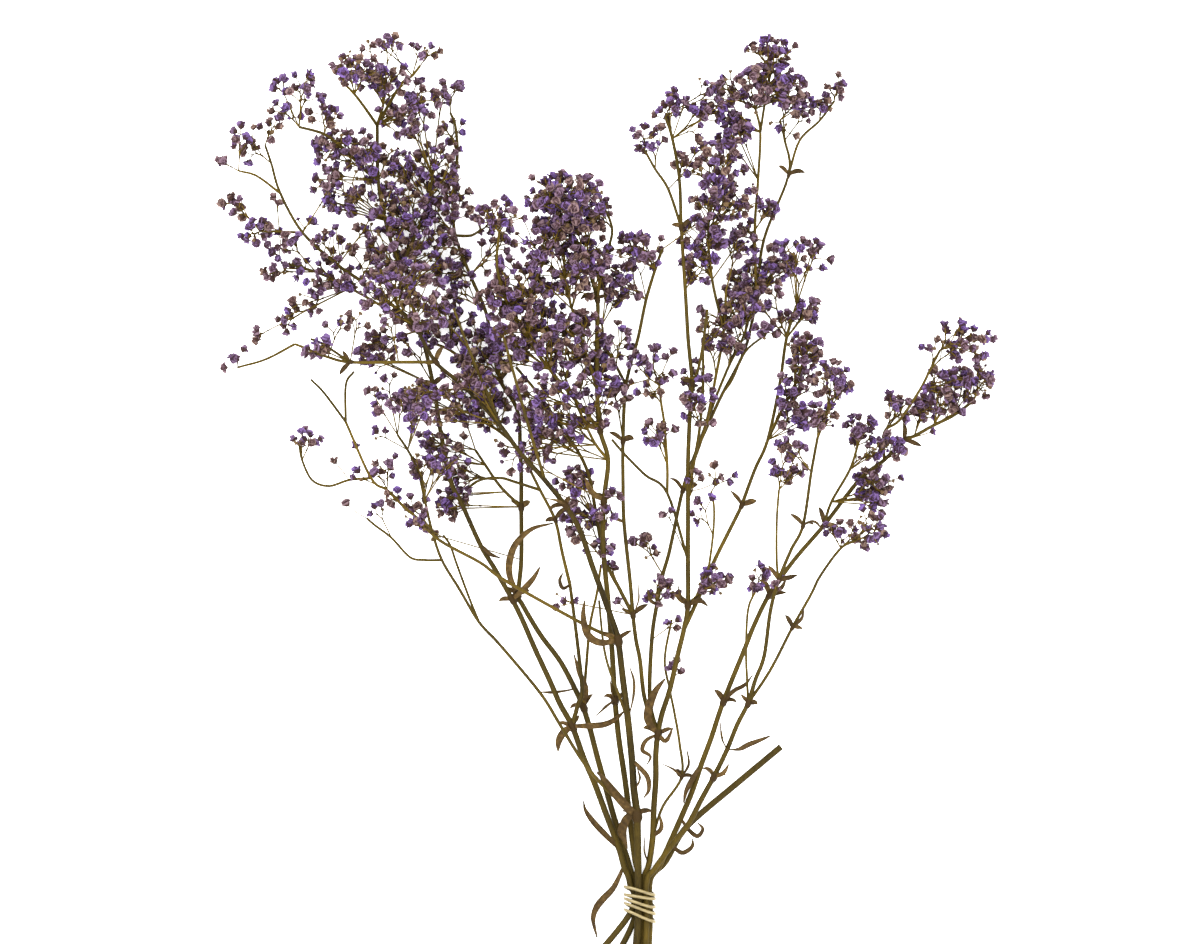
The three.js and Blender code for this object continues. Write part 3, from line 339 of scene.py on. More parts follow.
            Route((1.8, 1.5), 84, [(692, 383), (699, 365), (706, 320)]),
            Route((2.6, 1.8), 20, [
                (684, 630), (700, 595), (715, 560), (735, 520), (742, 505), (755, 470), (768, 440),
                (780, 385), (787, 338), (797, 305),
            ]),
            Route((2.6, 1.8), 20, [
                (658, 735), (650, 700), (652, 640), (657, 605), (663, 575), (670, 550), (683, 490),
                (695, 455), (706, 430), (722, 395), (745, 350), (757, 300),
            ]),
            Route((1.8, 1.5), 34, [(757, 300), (764, 240), (789, 174), (785, 140), (780, 120)]),
            Route((1.8, 1.5), 58, [(757, 300), (755, 230), (758, 180), (760, 133), (755, 110)]),
            Route((1.6, 1.4), 22, [(789, 174), (800, 140), (820, 120), (835, 100)]),
            Route((1.6, 1.4), 70, [(760, 133), (765, 100), (770, 75)]),
            Route((2.6, 1.8), 62, [
                (658, 735), (645, 700), (640, 660), (636, 640), (633, 615), (630, 580), (624, 522),
                (623, 480), (623, 441), (626, 385), (638, 338), (646, 300), (655, 270), (662, 250),
            ]),
            Route((1.8, 1.5), 84, [(688, 540), (667, 493), (645, 475), (625, 455), (612, 440)]),
            Route((2.4, 1.6), 48, [
                (633, 615), (620, 590), (605, 560), (597, 520), (590, 480), (580, 455), (560, 425),
                (540, 396), (516, 367),
            ]),
            Route((1.8, 1.4), 12, [
                (653, 838), (663, 808), (682, 778), (680, 745), (675, 715), (670, 690), (665, 660),
                (672, 620),
            ]),
            Route((2, 1.5), 44, [(683, 490), (704, 432), (716, 376), (724, 330), (726, 290)]),
            Route((1.8, 1.4), 64, [(667, 493), (667, 465), (664, 424), (661, 404), (659, 385)]),
            Route((1.6, 1.3), 46, [(700, 595), (708, 571), (713, 535), (714, 508), (711, 492)]),
            Route((1.8, 1.4), 66, [(626, 385), (616, 366), (605, 345), (602, 325)]),
            Route((1.8, 1.4), 56, [(768, 440), (785, 405), (795, 385), (803, 360)]),
            Route((1.8, 1.4), 64, [(724, 330), (712, 280), (708, 230), (715, 190)]),
            Route((2, 1.4), 60, [(688, 500), (694, 462), (700, 425), (703, 385), (703, 345), (707, 310)]),
            Route((1.8, 1.4), 50, [(695, 455), (712, 408), (728, 368), (744, 335), (752, 305)]),
            Route((1.6, 1.3), 56, [(706, 430), (720, 398), (732, 380), (745, 352), (765, 335)]),
        ],
        joints=[
            (658, 735), (688, 605), (692, 383), (681, 228), (633, 615), (682, 778), (742, 505),
            (789, 174), (623, 441), (683, 490),
        ],
        sprays=[
            (638, 250, 28, 16, 34), (618, 285, 22, 22, 40), (650, 372, 20, 26, 26),
            (545, 430, 28, 26, 30), (572, 485, 20, 18, 28), (615, 345, 16, 24, 16),
            (615, 395, 12, 14, 12), (605, 548, 10, 9, 10), (612, 568, 6, 5, 3),
            (645, 545, 10, 8, 8), (620, 605, 4, 4, 1), (770, 54, 25, 15, 26),
            (770, 87, 34, 17, 76), (720, 97, 24, 18, 44), (675, 110, 14, 13, 18),
            (650, 140, 17, 13, 14), (712, 165, 34, 22, 62), (735, 130, 20, 14, 34),
            (722, 202, 30, 18, 60), (767, 211, 9, 7, 10), (702, 240, 22, 24, 46),
            (800, 102, 12, 10, 14), (822, 105, 8, 7, 8), (838, 88, 9, 8, 9),
            (742, 242, 18, 14, 26), (748, 282, 20, 16, 38), (770, 272, 17, 12, 22),
            (742, 308, 16, 16, 26), (766, 300, 12, 12, 11), (800, 258, 30, 18, 34),
            (808, 312, 13, 11, 16), (785, 318, 8, 6, 6), (722, 328, 26, 30, 60),
            (765, 335, 7, 6, 8), (698, 272, 14, 18, 20), (660, 433, 14, 12, 14),
            (696, 395, 15, 34, 30), (803, 352, 18, 18, 32), (795, 412, 17, 20, 34),
            (795, 382, 16, 14, 20), (712, 478, 20, 12, 9), (705, 503, 7, 6, 5),
            (668, 515, 6, 5, 2), (713, 580, 14, 15, 22), (670, 590, 8, 7, 6), (672, 627, 6, 5, 3),
            (675, 670, 6, 6, 3), (702, 118, 16, 14, 10), (790, 120, 22, 15, 12),
            (582, 520, 16, 18, 30), (655, 590, 10, 14, 6), (560, 600, 10, 12, 4),
        ],
        leaves=[
            LeafPlan(5.4, 12, [(658, 735), (648, 720), (650, 704), (656, 690), (665, 679)]),
            LeafPlan(3, 6, [(658, 735), (646, 741), (642, 751), (650, 757), (647, 765)]),
            LeafPlan(3.2, 6, [(658, 735), (666, 741), (673, 728)]),
            LeafPlan(3.6, 5, [(688, 605), (700, 600), (708, 606)]),
            LeafPlan(3.2, 6, [(688, 605), (680, 597), (678, 586)]),
            LeafPlan(3, 5, [(682, 778), (688, 765), (687, 751)]),
            LeafPlan(3, 5, [(682, 778), (672, 770), (660, 764)]),
            LeafPlan(3.2, 5, [(653, 838), (661, 829), (660, 816)]),
            LeafPlan(3, 5, [(649, 866), (644, 853), (645, 838)]),
            LeafPlan(2.8, 5, [(633, 615), (638, 600), (638, 584)]),
            LeafPlan(2.6, 5, [(624, 522), (615, 517), (610, 508)]),
            LeafPlan(2.6, 4, [(657, 605), (651, 600), (648, 589)]),
        ],
    ),
    StemPlan(
        name="right_spray",
        waist=(7.35, 8.6),
        low=(7.35, -15, 8.6),
        foot=(4, -90, 8),
        height=23,
        girth=(4.5, 2),
        trunk=[
            (659, 869), (670, 845), (681, 820), (692, 794), (702, 765), (712, 738), (724, 702),
            (745, 650), (755, 625), (770, 595), (795, 560), (825, 525), (860, 480), (885, 460),
            (905, 440), (915, 436), (935, 425), (955, 415), (975, 400),
        ],
        routes=[
            Route((1.8, 1.5), 44, [
                (885, 460), (885, 432), (900, 420), (920, 390), (930, 370), (940, 350),
            ]),
            Route((1.8, 1.5), 36, [(825, 525), (832, 502), (850, 470), (858, 445)]),
        ],
        joints=[(724, 702), (770, 595), (825, 525), (905, 440)],
        sprays=[
            (962, 340, 25, 19, 42), (958, 384, 36, 17, 62), (945, 402, 12, 8, 10),
            (925, 410, 13, 9, 18), (900, 407, 12, 14, 16), (887, 398, 4, 4, 1),
            (862, 427, 14, 12, 20), (869, 448, 20, 12, 22), (900, 452, 4, 4, 1),
            (874, 488, 17, 23, 52), (955, 412, 6, 6, 3), (933, 435, 4, 4, 1),
        ],
        leaves=[
            LeafPlan(3.6, 9, [(724, 702), (735, 690), (745, 684), (753, 675)]),
            LeafPlan(3.4, 4, [(702, 765), (694, 778), (687, 792), (684, 804)]),
            LeafPlan(3, 7, [(681, 820), (690, 832), (698, 837), (703, 830), (698, 824)]),
            LeafPlan(3.2, 3, [(669, 845), (682, 854), (692, 848), (693, 840)]),
            LeafPlan(3, 5, [(770, 595), (781, 588), (787, 578)]),
        ],
    ),
    StemPlan(
        name="right_mid",
        waist=(4.9, 12.9),
        low=(4.9, -15, 12.9),
        foot=(2, -84, 14),
        height=88,
        girth=(4.4, 1.9),
        trunk=[
            (655, 870), (673, 845), (688, 826), (701, 801), (714, 777), (727, 750), (737, 725),
            (748, 703), (755, 680), (764, 655), (770, 610), (778, 580), (790, 550), (802, 525),
            (810, 472), (816, 438),
        ],
        routes=[
            Route((2, 1.6), 66, [
                (748, 703), (770, 670), (792, 627), (810, 595), (820, 575), (840, 548), (855, 540),
            ]),
            Route((1.6, 1.4), 40, [(748, 703), (747, 680), (746, 650), (748, 610), (756, 590)]),
            Route((1.6, 1.4), 74, [(778, 580), (776, 560), (776, 520), (778, 490)]),
            Route((1.6, 1.4), 92, [(816, 438), (826, 412), (833, 395)]),
        ],
        joints=[(748, 703), (778, 580), (802, 525), (792, 627), (714, 777)],
        sprays=[
            (832, 380, 16, 19, 30), (820, 415, 14, 13, 22), (788, 448, 13, 12, 18),
            (783, 475, 10, 8, 12), (757, 578, 8, 13, 9), (775, 585, 5, 5, 4),
            (835, 530, 10, 8, 12), (869, 530, 20, 15, 26),
        ],
        leaves=[
            LeafPlan(4.8, 7, [(727, 750), (740, 750), (752, 744), (770, 736)]),
            LeafPlan(3.8, 6, [(727, 750), (721, 738), (720, 722)]),
            LeafPlan(3.2, 5, [(714, 777), (723, 773), (729, 764)]),
            LeafPlan(3.2, 6, [(802, 525), (812, 522), (820, 528)]),
            LeafPlan(2.8, 5, [(792, 627), (800, 618), (803, 608)]),
        ],
    ),
    StemPlan(
        name="cut_stem",
        waist=(4.9, 4.2),
        low=(4.9, -15, 4.2),
        foot=(2, -78, 3),
        height=5,
        girth=(4.5, 4.2),
        trunk=[
            (665, 865), (680, 838), (696, 820), (740, 783), (782, 748),
        ],
    ),
)


@dataclass(frozen=True)
class Spread:
    """A size that varies from piece to piece: its least value and how much more it may be."""

    least: float
    more: float

    def at(self, share: float | Array) -> float | Array:
        """Gives the size at a share of its spread."""
        return self.least + self.more * share


def linear(hex_colour: str) -> tuple[float, float, float, float]:
    """Turns an sRGB hex colour into Blender's linear RGBA, by the sRGB curve.

    Args:
        hex_colour: Six hex digits after a #.

    Returns:
        Red, green, blue and full alpha.
    """
    parts = [int(hex_colour[i : i + 2], 16) / 255 for i in (1, 3, 5)]
    red, green, blue = [c / 12.92 if c <= 0.04045 else ((c + 0.055) / 1.055) ** 2.4 for c in parts]
    return (red, green, blue, 1.0)


def place(pixel: Pixel, height: float = 0.0) -> Array:
    """Turns a pixel of the photograph and a height into a point of the part.

    Args:
        pixel: Place in the photograph, counted from its upper left corner.
        height: Height above the surface in mm.

    Returns:
        The point in mm.
    """
    x = (pixel[0] - TIE_IN_PHOTO[0]) * MM_PER_PIXEL
    y = (TIE_IN_PHOTO[1] - pixel[1]) * MM_PER_PIXEL
    return np.array([x, y, height], dtype=float)


def seeded(seed: int) -> Draw:
    """Makes a small repeatable source of numbers from 0 to 1.

    Args:
        seed: Whole number that the run of numbers depends on.

    Returns:
        A function that gives the next number at each call.
    """
    state = seed & LARGEST_WORD

    def draw() -> float:
        """Gives the next number: it steps the state on and mixes its bits."""
        nonlocal state
        state = (state + 0x6D2B79F5) & LARGEST_WORD
        mixed = ((state ^ (state >> 15)) * (state | 1)) & LARGEST_WORD
        step = ((mixed ^ (mixed >> 7)) * (mixed | 61)) & LARGEST_WORD
        mixed = (mixed ^ (mixed + step)) & LARGEST_WORD
        return ((mixed ^ (mixed >> 14)) & LARGEST_WORD) / (LARGEST_WORD + 1)

    return draw


def unit(vector: Array) -> Array:
    """Gives the vector of length 1 in the same direction."""
    return vector / length(vector)


def length(vector: Array) -> float:
    """Gives a vector's length by plain sums, which round the same way in each run."""
    x, y, z = vector
    return math.sqrt(x * x + y * y + z * z)


def gaps_from(points: Array, pixel: Pixel) -> Array:
    """Gives how far each point lies from a pixel, seen from above, in mm."""
    return np.linalg.norm(points[:, :2] - place(pixel)[:2], axis=1)


def nearest(points: Array, pixel: Pixel) -> Array:
    """Gives the point that lies nearest to a pixel, seen from above."""
    return points[np.argmin(gaps_from(points, pixel))]


def raised(flat: Sequence[Array], start: float, end: float) -> Array:
    """Gives flat points heights that rise evenly with the distance along them.

    Args:
        flat: Points whose own heights don't count.
        start: Height of the first point in mm.
        end: Height of the last point in mm.

    Returns:
        The points with their heights, one a row.
    """
    points = np.array(flat, dtype=float)
    points[:, 2] = 0
    steps = np.linalg.norm(np.diff(points, axis=0), axis=1)
    share = np.concatenate([[0], np.cumsum(steps)]) / steps.sum()
    points[:, 2] = start + (end - start) * share
    return points


def smooth(points: Array, values: Array, per_span: int) -> tuple[Array, Array]:
    """Runs a Catmull-Rom curve through points: each span is the cubic that leaves and meets its
    ends in the direction of the line between their neighbours.

    Args:
        points: Points on the curve, one a row.
        values: A value at each point, blended evenly along each span.
        per_span: Samples in each span.

    Returns:
        The curve's samples and the values at them.
    """
    padded = np.vstack([2 * points[0] - points[1], points, 2 * points[-1] - points[-2]])
    t = np.linspace(0, 1, per_span, endpoint=False)[None, :, None]
    before, start, end, after = (padded[i : len(padded) - 3 + i][:, None, :] for i in range(4))
    curve = 0.5 * (
        2 * start
        + (end - before) * t
        + (2 * before - 5 * start + 4 * end - after) * t**2
        + (3 * start - before - 3 * end + after) * t**3
    )
    blend = values[:-1, None] + (values[1:] - values[:-1])[:, None] * t[0, :, 0]
    samples = np.vstack([curve.reshape(-1, 3), points[-1:]])
    return samples, np.append(blend.ravel(), values[-1])


def frames(points: Array) -> tuple[Array, Array, Array]:
    """Finds directions along a path and two directions square to it at each point.

    The first square direction is the cross product with the axis that the path runs along least,
    so it does not flip on the way.

    Args:
        points: Points of the path, one a row.

    Returns:
        Unit vectors along the path, to its side, and square to both.
    """
    along = np.gradient(points, axis=0)
    along /= np.linalg.norm(along, axis=1)[:, None]
    least = np.argmin(np.abs(along).max(axis=0))
    side = np.cross(along, np.eye(3)[least])
    side /= np.linalg.norm(side, axis=1)[:, None]
    return along, side, np.cross(side, along)


def full_turn(count: int) -> Array:
    """Gives angles that share a full turn evenly, in radians."""
    return np.linspace(0, 2 * math.pi, count, endpoint=False)


def swept(path: Array, radii: Array, sides: int) -> Array:
    """Carries a circle along a path: each ring is its point of the path, plus the radius times
    the cosine of the angle to the side and its sine upwards.

    Args:
        path: Points of the path, one a row.
        radii: The circle's radius at each of them.
        sides: Places round the circle.

    Returns:
        Points as rings, places round the ring, coordinates.
    """
    _, side, up = frames(path)
    turn = full_turn(sides)[None, :, None]
    return path[:, None] + radii[:, None, None] * (
        np.cos(turn) * side[:, None] + np.sin(turn) * up[:, None]
    )


def filled(value: Array, power: float) -> Array:
    """Raises a sine's or cosine's size to a power below 1, so that the round fills its corners."""
    return np.sign(value) * np.abs(value) ** power


@dataclass
class Surface:
    """Collects closed patches of one kind, with the values that their finish reads."""

    points: list[Array] = field(default_factory=list)
    faces: list[NDArray[np.int64]] = field(default_factory=list)
    tones: list[Array] = field(default_factory=list)
    shares: list[Array] = field(default_factory=list)
    count: int = 0

    def add_grids(self, grids: Array, tone: Array, share: Array) -> None:
        """Adds skins of equal make, each of them rings of points closed at both ends.

        The sum of the small volumes between each face and the origin tells which way a skin's
        faces look. Those that look inwards are reversed.

        Args:
            grids: Points as skins, rings, places round the ring, coordinates.
            tone: A value for each skin that shifts its colour.
            share: A value from 0 to 1 for each point, or in a shape that spreads over them.
        """
        skins, rings, sides = grids.shape[:3]
        faces = self.faces_of(rings, sides)
        a, b, c, d = np.moveaxis(grids.reshape(skins, -1, 3)[:, faces], 2, 0)
        volume = np.sum(a * np.cross(b, c) + a * np.cross(c, d), axis=(1, 2))
        outward = np.where((volume > 0)[:, None, None], faces, faces[:, ::-1])
        start = self.count + np.arange(skins) * rings * sides
        self.faces.append((start[:, None, None] + outward).reshape(-1, 4))
        self.points.append(grids.reshape(-1, 3))
        full = np.ones((skins, rings, sides))
        self.tones.append((tone[:, None, None] * full).ravel())
        self.shares.append((share * full).ravel())
        self.count += skins * rings * sides

    def faces_of(self, rings: int, sides: int) -> NDArray[np.int64]:
        """Lists one skin's faces: the wall between its rings, and a strip of faces at each end.

        Args:
            rings: Number of rings.
            sides: Places round a ring.

        Returns:
            Four point numbers a face. A strip's last face may name one point twice.
        """
        ring, side = np.meshgrid(np.arange(rings - 1), np.arange(sides), indexing="ij")
        follow = (side + 1) % sides
        wall = np.stack([ring * sides + side, ring * sides + follow], axis=-1).reshape(-1, 2)
        wall = np.hstack([wall, wall[:, ::-1] + sides])
        low = np.arange((sides - 1) // 2)
        high = sides - 1 - low
        bottom = np.stack([high, high - 1, low + 1, low], axis=-1)
        top = bottom[:, ::-1] + (rings - 1) * sides
        return np.vstack([wall, bottom, top])

    def add_grid(self, grid: Array, tone: float, share: Array) -> None:
        """Adds one closed skin, with a share for each of its rings."""
        self.add_grids(grid[None], np.array([tone]), share[None, :, None])

    def mesh(self, name: str, rounded: bool = True) -> bpy.types.Object:
        """Turns the patches into one object at the origin, in metres.

        Args:
            name: Name of the new piece.
            rounded: Whether its faces are shaded as one smooth surface.

        Returns:
            The new object, with its values as point attributes.
        """
        points = np.vstack(self.points)
        points[:, 2] = np.maximum(points[:, 2], LOWEST_POINT)
        points *= MM
        faces = [list(dict.fromkeys(face)) for face in np.vstack(self.faces).tolist()]
        mesh = bpy.data.meshes.new(name)
        mesh.from_pydata(points.tolist(), [], faces)
        for label, values in (("tone", self.tones), ("share", self.shares)):
            layer = mesh.attributes.new(label, "FLOAT", "POINT")
            layer.data.foreach_set("value", np.concatenate(values).astype(np.float32))
        mesh.polygons.foreach_set("use_smooth", np.full(len(faces), rounded))
        mesh.update()
        piece = bpy.data.objects.new(name, mesh)
        bpy.context.scene.collection.objects.link(piece)
        return piece


def add_node(
    tree: bpy.types.NodeTree, kind: str, settings: dict | None = None, links: dict | None = None
) -> bpy.types.Node:
    """Adds one shader node with its settings and links.

    Args:
        tree: The material's node tree.
        kind: Blender's name of the node type.
        settings: Node properties, values of input sockets, or a ramp's shades, by their names.
        links: Input sockets' names or numbers with the output sockets that feed them.

    Returns:
        The new node.
    """
    node = tree.nodes.new(kind)
    for key, value in (settings or {}).items():
        if key == "shades":
            set_shades(node.color_ramp.elements, value)
        elif isinstance(key, str) and hasattr(node, key):
            setattr(node, key, value)
        else:
            open_socket(node.inputs, key).default_value = value
    for key, source in (links or {}).items():
        tree.links.new(source, open_socket(node.inputs, key))
    return node


def set_shades(elements: bpy.types.ColorRampElements, shades: Shades) -> None:
    """Sets the places and colours of a ramp.

    Args:
        elements: The ramp's elements, of which there are two at first.
        shades: Places in rising order, each with its hex colour.
    """
    first, *middle, last = shades
    for element, (position, colour) in ((elements[0], first), (elements[1], last)):
        element.position = position
        element.color = linear(colour)
    for position, colour in middle:
        elements.new(position).color = linear(colour)


def open_socket(sockets: Sequence[Socket], key: str | int) -> Socket:
    """Finds a socket by its number, or by its name among those that the node's mode uses.

    Args:
        sockets: A node's inputs or outputs.
        key: Number or name.

    Returns:
        The socket.
    """
    if isinstance(key, int):
        return sockets[key]
    return next(s for s in sockets if s.name == key and not s.is_unavailable)


@dataclass(frozen=True)
class Finish:
    """What all finishes share: a gloss, and a relief that follows the finish's own pattern."""

    name: str
    roughness: float
    gloss: float
    bump: float
    bump_mm: float

    def pattern(self, tree: bpy.types.NodeTree, where: Socket) -> tuple[Socket, Socket]:
        """Adds the finish's own nodes.

        Args:
            tree: The material's node tree.
            where: The piece's own coordinates.

        Returns:
            The pattern's colour and its height.
        """
        raise NotImplementedError

    def make(self) -> bpy.types.Material:
        """Builds the material.

        Returns:
            The material with its pattern, gloss and relief.
        """
        material = bpy.data.materials.new(self.name)
        material.use_nodes = True
        tree = material.node_tree
        shader = tree.nodes["Principled BSDF"]
        where = add_node(tree, "ShaderNodeTexCoord").outputs["Object"]
        colour, height = self.pattern(tree, where)
        depth = {"Strength": self.bump, "Distance": self.bump_mm * MM}
        relief = add_node(tree, "ShaderNodeBump", depth, {"Height": height})
        shader.inputs["Roughness"].default_value = self.roughness
        shader.inputs["Specular IOR Level"].default_value = self.gloss
        tree.links.new(colour, shader.inputs["Base Color"])
        tree.links.new(relief.outputs["Normal"], shader.inputs["Normal"])
        return material


@dataclass(frozen=True)
class DriedStem(Finish):
    """Sun-dried woody stem. It gives the eye a dull skin in straw and dark brown, with fine
    lengthwise streaks, in patches a few centimetres wide, darker and redder at the joints."""

    name: str = "dried_woody_stem"
    roughness: float = 0.7
    gloss: float = 0.08
    bump: float = 0.35
    bump_mm: float = 0.2
    shades: Shades = ((0.28, "#171103"), (0.6, "#372c09"), (0.95, "#564411"))
    joint: str = "#291c0a"
    streak_mm: float = 0.8  # real streaks are finer, and would not show in the render
    streak_squeeze: float = 0.12  # a streak is about eight times as long as it is wide
    streak_weight: float = 0.45
    patch_mm: float = 1000 / 28  # 28 patches to the metre
    patch_weight: float = 0.5

    def pattern(self, tree: bpy.types.NodeTree, where: Socket) -> tuple[Socket, Socket]:
        """Adds streaks and patches to the twig's own tone, and darkens the joints.

        Args:
            tree: The material's node tree.
            where: The piece's own coordinates.

        Returns:
            The skin's colour and its height.
        """
        tone = add_node(tree, "ShaderNodeAttribute", {"attribute_name": "tone"}).outputs["Fac"]
        share = add_node(tree, "ShaderNodeAttribute", {"attribute_name": "share"}).outputs["Fac"]
        fine = 1 / (self.streak_mm * MM)
        stretch = {"Scale": (fine, fine * self.streak_squeeze, fine)}
        stretched = add_node(tree, "ShaderNodeMapping", stretch, {"Vector": where}).outputs[0]
        grain = {"Scale": 1.0, "Detail": 3.0}
        streaks = add_node(tree, "ShaderNodeTexNoise", grain, {"Vector": stretched}).outputs["Fac"]
        weather = {"Scale": 1 / (self.patch_mm * MM), "Detail": 2.0}
        patches = add_node(tree, "ShaderNodeTexNoise", weather, {"Vector": where}).outputs["Fac"]
        weight = {"operation": "MULTIPLY_ADD", 1: self.streak_weight}
        streaked = add_node(tree, "ShaderNodeMath", weight, {0: streaks, 2: tone}).outputs[0]
        weight = {"operation": "MULTIPLY_ADD", 1: self.patch_weight}
        patched = add_node(tree, "ShaderNodeMath", weight, {0: patches, 2: streaked}).outputs[0]
        skin = add_node(
            tree, "ShaderNodeValToRGB", {"shades": self.shades}, {"Fac": patched}
        ).outputs["Color"]
        darker = {"data_type": "RGBA", "B": linear(self.joint)}
        coloured = add_node(tree, "ShaderNodeMix", darker, {"Factor": share, "A": skin})
        return open_socket(coloured.outputs, "Result"), streaks


@dataclass(frozen=True)
class PaperyFloret(Finish):
    """Dried and dyed petals over a brown calyx. They give the eye dull crumpled paper, from brown
    mauve to violet, uneven from one floret to the next, with brown buds between them. Towards the
    petals' roots and in the crumple's hollows the colour runs to a dark brown: partly the calyx's
    own brown, partly painted shade in the creases."""

    name: str = "dried_dyed_petal"
    roughness: float = 0.85
    gloss: float = 0.05
    bump: float = 0.6
    bump_mm: float = 0.5
    # both ramps start at one dark brown: painted shade in the creases and at the petals' roots, and the
    # calyx's real brown
    dull: Shades = ((0.64, "#302117"), (0.88, "#412e2f"), (1.0, "#6e5a4e"))
    vivid: Shades = ((0.64, "#302117"), (0.86, "#362341"), (1.0, "#604a7f"))
    bud: str = "#5c4a34"
    bud_limit: float = 1.5  # tones past this are buds
    crumple_mm: float = 0.85
    # how much the crumple's hollows darken the colour: painted shade
    crumple_shade_weight: float = 1.15

    def pattern(self, tree: bpy.types.NodeTree, where: Socket) -> tuple[Socket, Socket]:
        """Adds the crumple to the height on the floret, so that its hollows and the petals' roots take
        the ramps' dark end as painted shade, and mixes dull, vivid and bud colours.

        Args:
            tree: The material's node tree.
            where: The piece's own coordinates.

        Returns:
            The petals' colour and their height.
        """
        tone = add_node(tree, "ShaderNodeAttribute", {"attribute_name": "tone"}).outputs["Fac"]
        share = add_node(tree, "ShaderNodeAttribute", {"attribute_name": "share"}).outputs["Fac"]
        paper = {"Scale": 1 / (self.crumple_mm * MM), "Detail": 3.0, "Roughness": 0.65}
        crumple = add_node(tree, "ShaderNodeTexNoise", paper, {"Vector": where}).outputs["Fac"]
        weight = {"operation": "MULTIPLY_ADD", 1: self.crumple_shade_weight}
        # low shares and the crumple's hollows take the dark end of the ramps: painted shade
        height = add_node(tree, "ShaderNodeMath", weight, {0: crumple, 2: share}).outputs[0]
        dull, vivid = (
            add_node(tree, "ShaderNodeValToRGB", {"shades": shades}, {"Fac": height}).outputs["Color"]
            for shades in (self.dull, self.vivid)
        )
        petals = add_node(
            tree, "ShaderNodeMix", {"data_type": "RGBA"}, {"Factor": tone, "A": dull, "B": vivid}
        )
        limit = {"operation": "GREATER_THAN", 1: self.bud_limit}
        is_bud = add_node(tree, "ShaderNodeMath", limit, {0: tone}).outputs[0]
        brown = {"data_type": "RGBA", "B": linear(self.bud)}
        opened = open_socket(petals.outputs, "Result")
        coloured = add_node(tree, "ShaderNodeMix", brown, {"Factor": is_bud, "A": opened})
        return open_socket(coloured.outputs, "Result"), crumple


@dataclass(frozen=True)
class WitheredLeaf(Finish):
    """Withered leaf. It gives the eye a brittle, hardly glossy brown blade, from one leaf to the
    next darker or paler, in patches a few millimetres wide."""

    name: str = "withered_leaf"
    roughness: float = 0.7
    gloss: float = 0.08
    bump: float = 0.5
    bump_mm: float = 0.4
    shades: Shades = ((0.2, "#20170b"), (0.5, "#3b2c15"), (0.9, "#604b28"))
    patch_mm: float = 1000 / 350  # 350 patches to the metre
    patch_weight: float = 0.8

    def pattern(self, tree: bpy.types.NodeTree, where: Socket) -> tuple[Socket, Socket]:
        """Adds patches to the leaf's own tone.

        Args:
            tree: The material's node tree.
            where: The piece's own coordinates.

        Returns:
            The blade's colour and its height.
        """
        tone = add_node(tree, "ShaderNodeAttribute", {"attribute_name": "tone"}).outputs["Fac"]
        brittle = {"Scale": 1 / (self.patch_mm * MM), "Detail": 4.0}
        patches = add_node(tree, "ShaderNodeTexNoise", brittle, {"Vector": where}).outputs["Fac"]
        weight = {"operation": "MULTIPLY_ADD", 1: self.patch_weight}
        patched = add_node(tree, "ShaderNodeMath", weight, {0: patches, 2: tone}).outputs[0]
        skin = add_node(tree, "ShaderNodeValToRGB", {"shades": self.shades}, {"Fac": patched})
        return skin.outputs["Color"], patches


@dataclass(frozen=True)
class NaturalRubber(Finish):
    """Crepe rubber band. It gives the eye dull cream with a soft gloss and faint lines along it."""

    name: str = "natural_rubber_band"
    roughness: float = 0.32
    gloss: float = 0.5
    bump: float = 0.3
    bump_mm: float = 0.3
    shades: Shades = ((0.3, "#524525"), (0.65, "#7b6d45"))
    line_mm: float = 1000 / 2200  # 2200 lines to the metre
    line_run_mm: float = 1000 / 150  # the length of a line

    def pattern(self, tree: bpy.types.NodeTree, where: Socket) -> tuple[Socket, Socket]:
        """Adds the lines, which run round the stems.

        Args:
            tree: The material's node tree.
            where: The piece's own coordinates.

        Returns:
            The band's colour and its height.
        """
        across, along = 1 / (self.line_mm * MM), 1 / (self.line_run_mm * MM)
        stretch = {"Scale": (along, across, along)}
        stretched = add_node(tree, "ShaderNodeMapping", stretch, {"Vector": where}).outputs[0]
        crepe = {"Scale": 1.0, "Detail": 3.0}
        lines = add_node(tree, "ShaderNodeTexNoise", crepe, {"Vector": stretched}).outputs["Fac"]
        skin = add_node(tree, "ShaderNodeValToRGB", {"shades": self.shades}, {"Fac": lines})
        return skin.outputs["Color"], lines


def farthest(targets: Array, centre: Array) -> Array:
    """Gives the target that lies farthest from the centre."""
    return targets[np.argmax(np.linalg.norm(targets - centre, axis=1))]


def halves(targets: Array, centre: Array) -> tuple[Array, Array]:
    """Splits targets in two by the plane through their centre, square to their farthest one."""
    ahead = np.sum((targets - centre) * (farthest(targets, centre) - centre), axis=1) > 0
    return targets[ahead], targets[~ahead]


def groups(targets: Array, most: int) -> list[Array]:
    """Splits targets into groups of neighbours.

    Args:
        targets: Places of florets, one a row.
        most: The most florets that a group may have.

    Returns:
        The groups.
    """
    if len(targets) <= most:
        return [targets]
    ahead, behind = halves(targets, targets.mean(axis=0))
    return groups(ahead, most) + groups(behind, most)


@dataclass
class Twig:
    """A twig that ends in one floret: its points in mm, and the florets beyond each fork."""

    points: list[Array]
    florets: list[int] = field(default_factory=list)


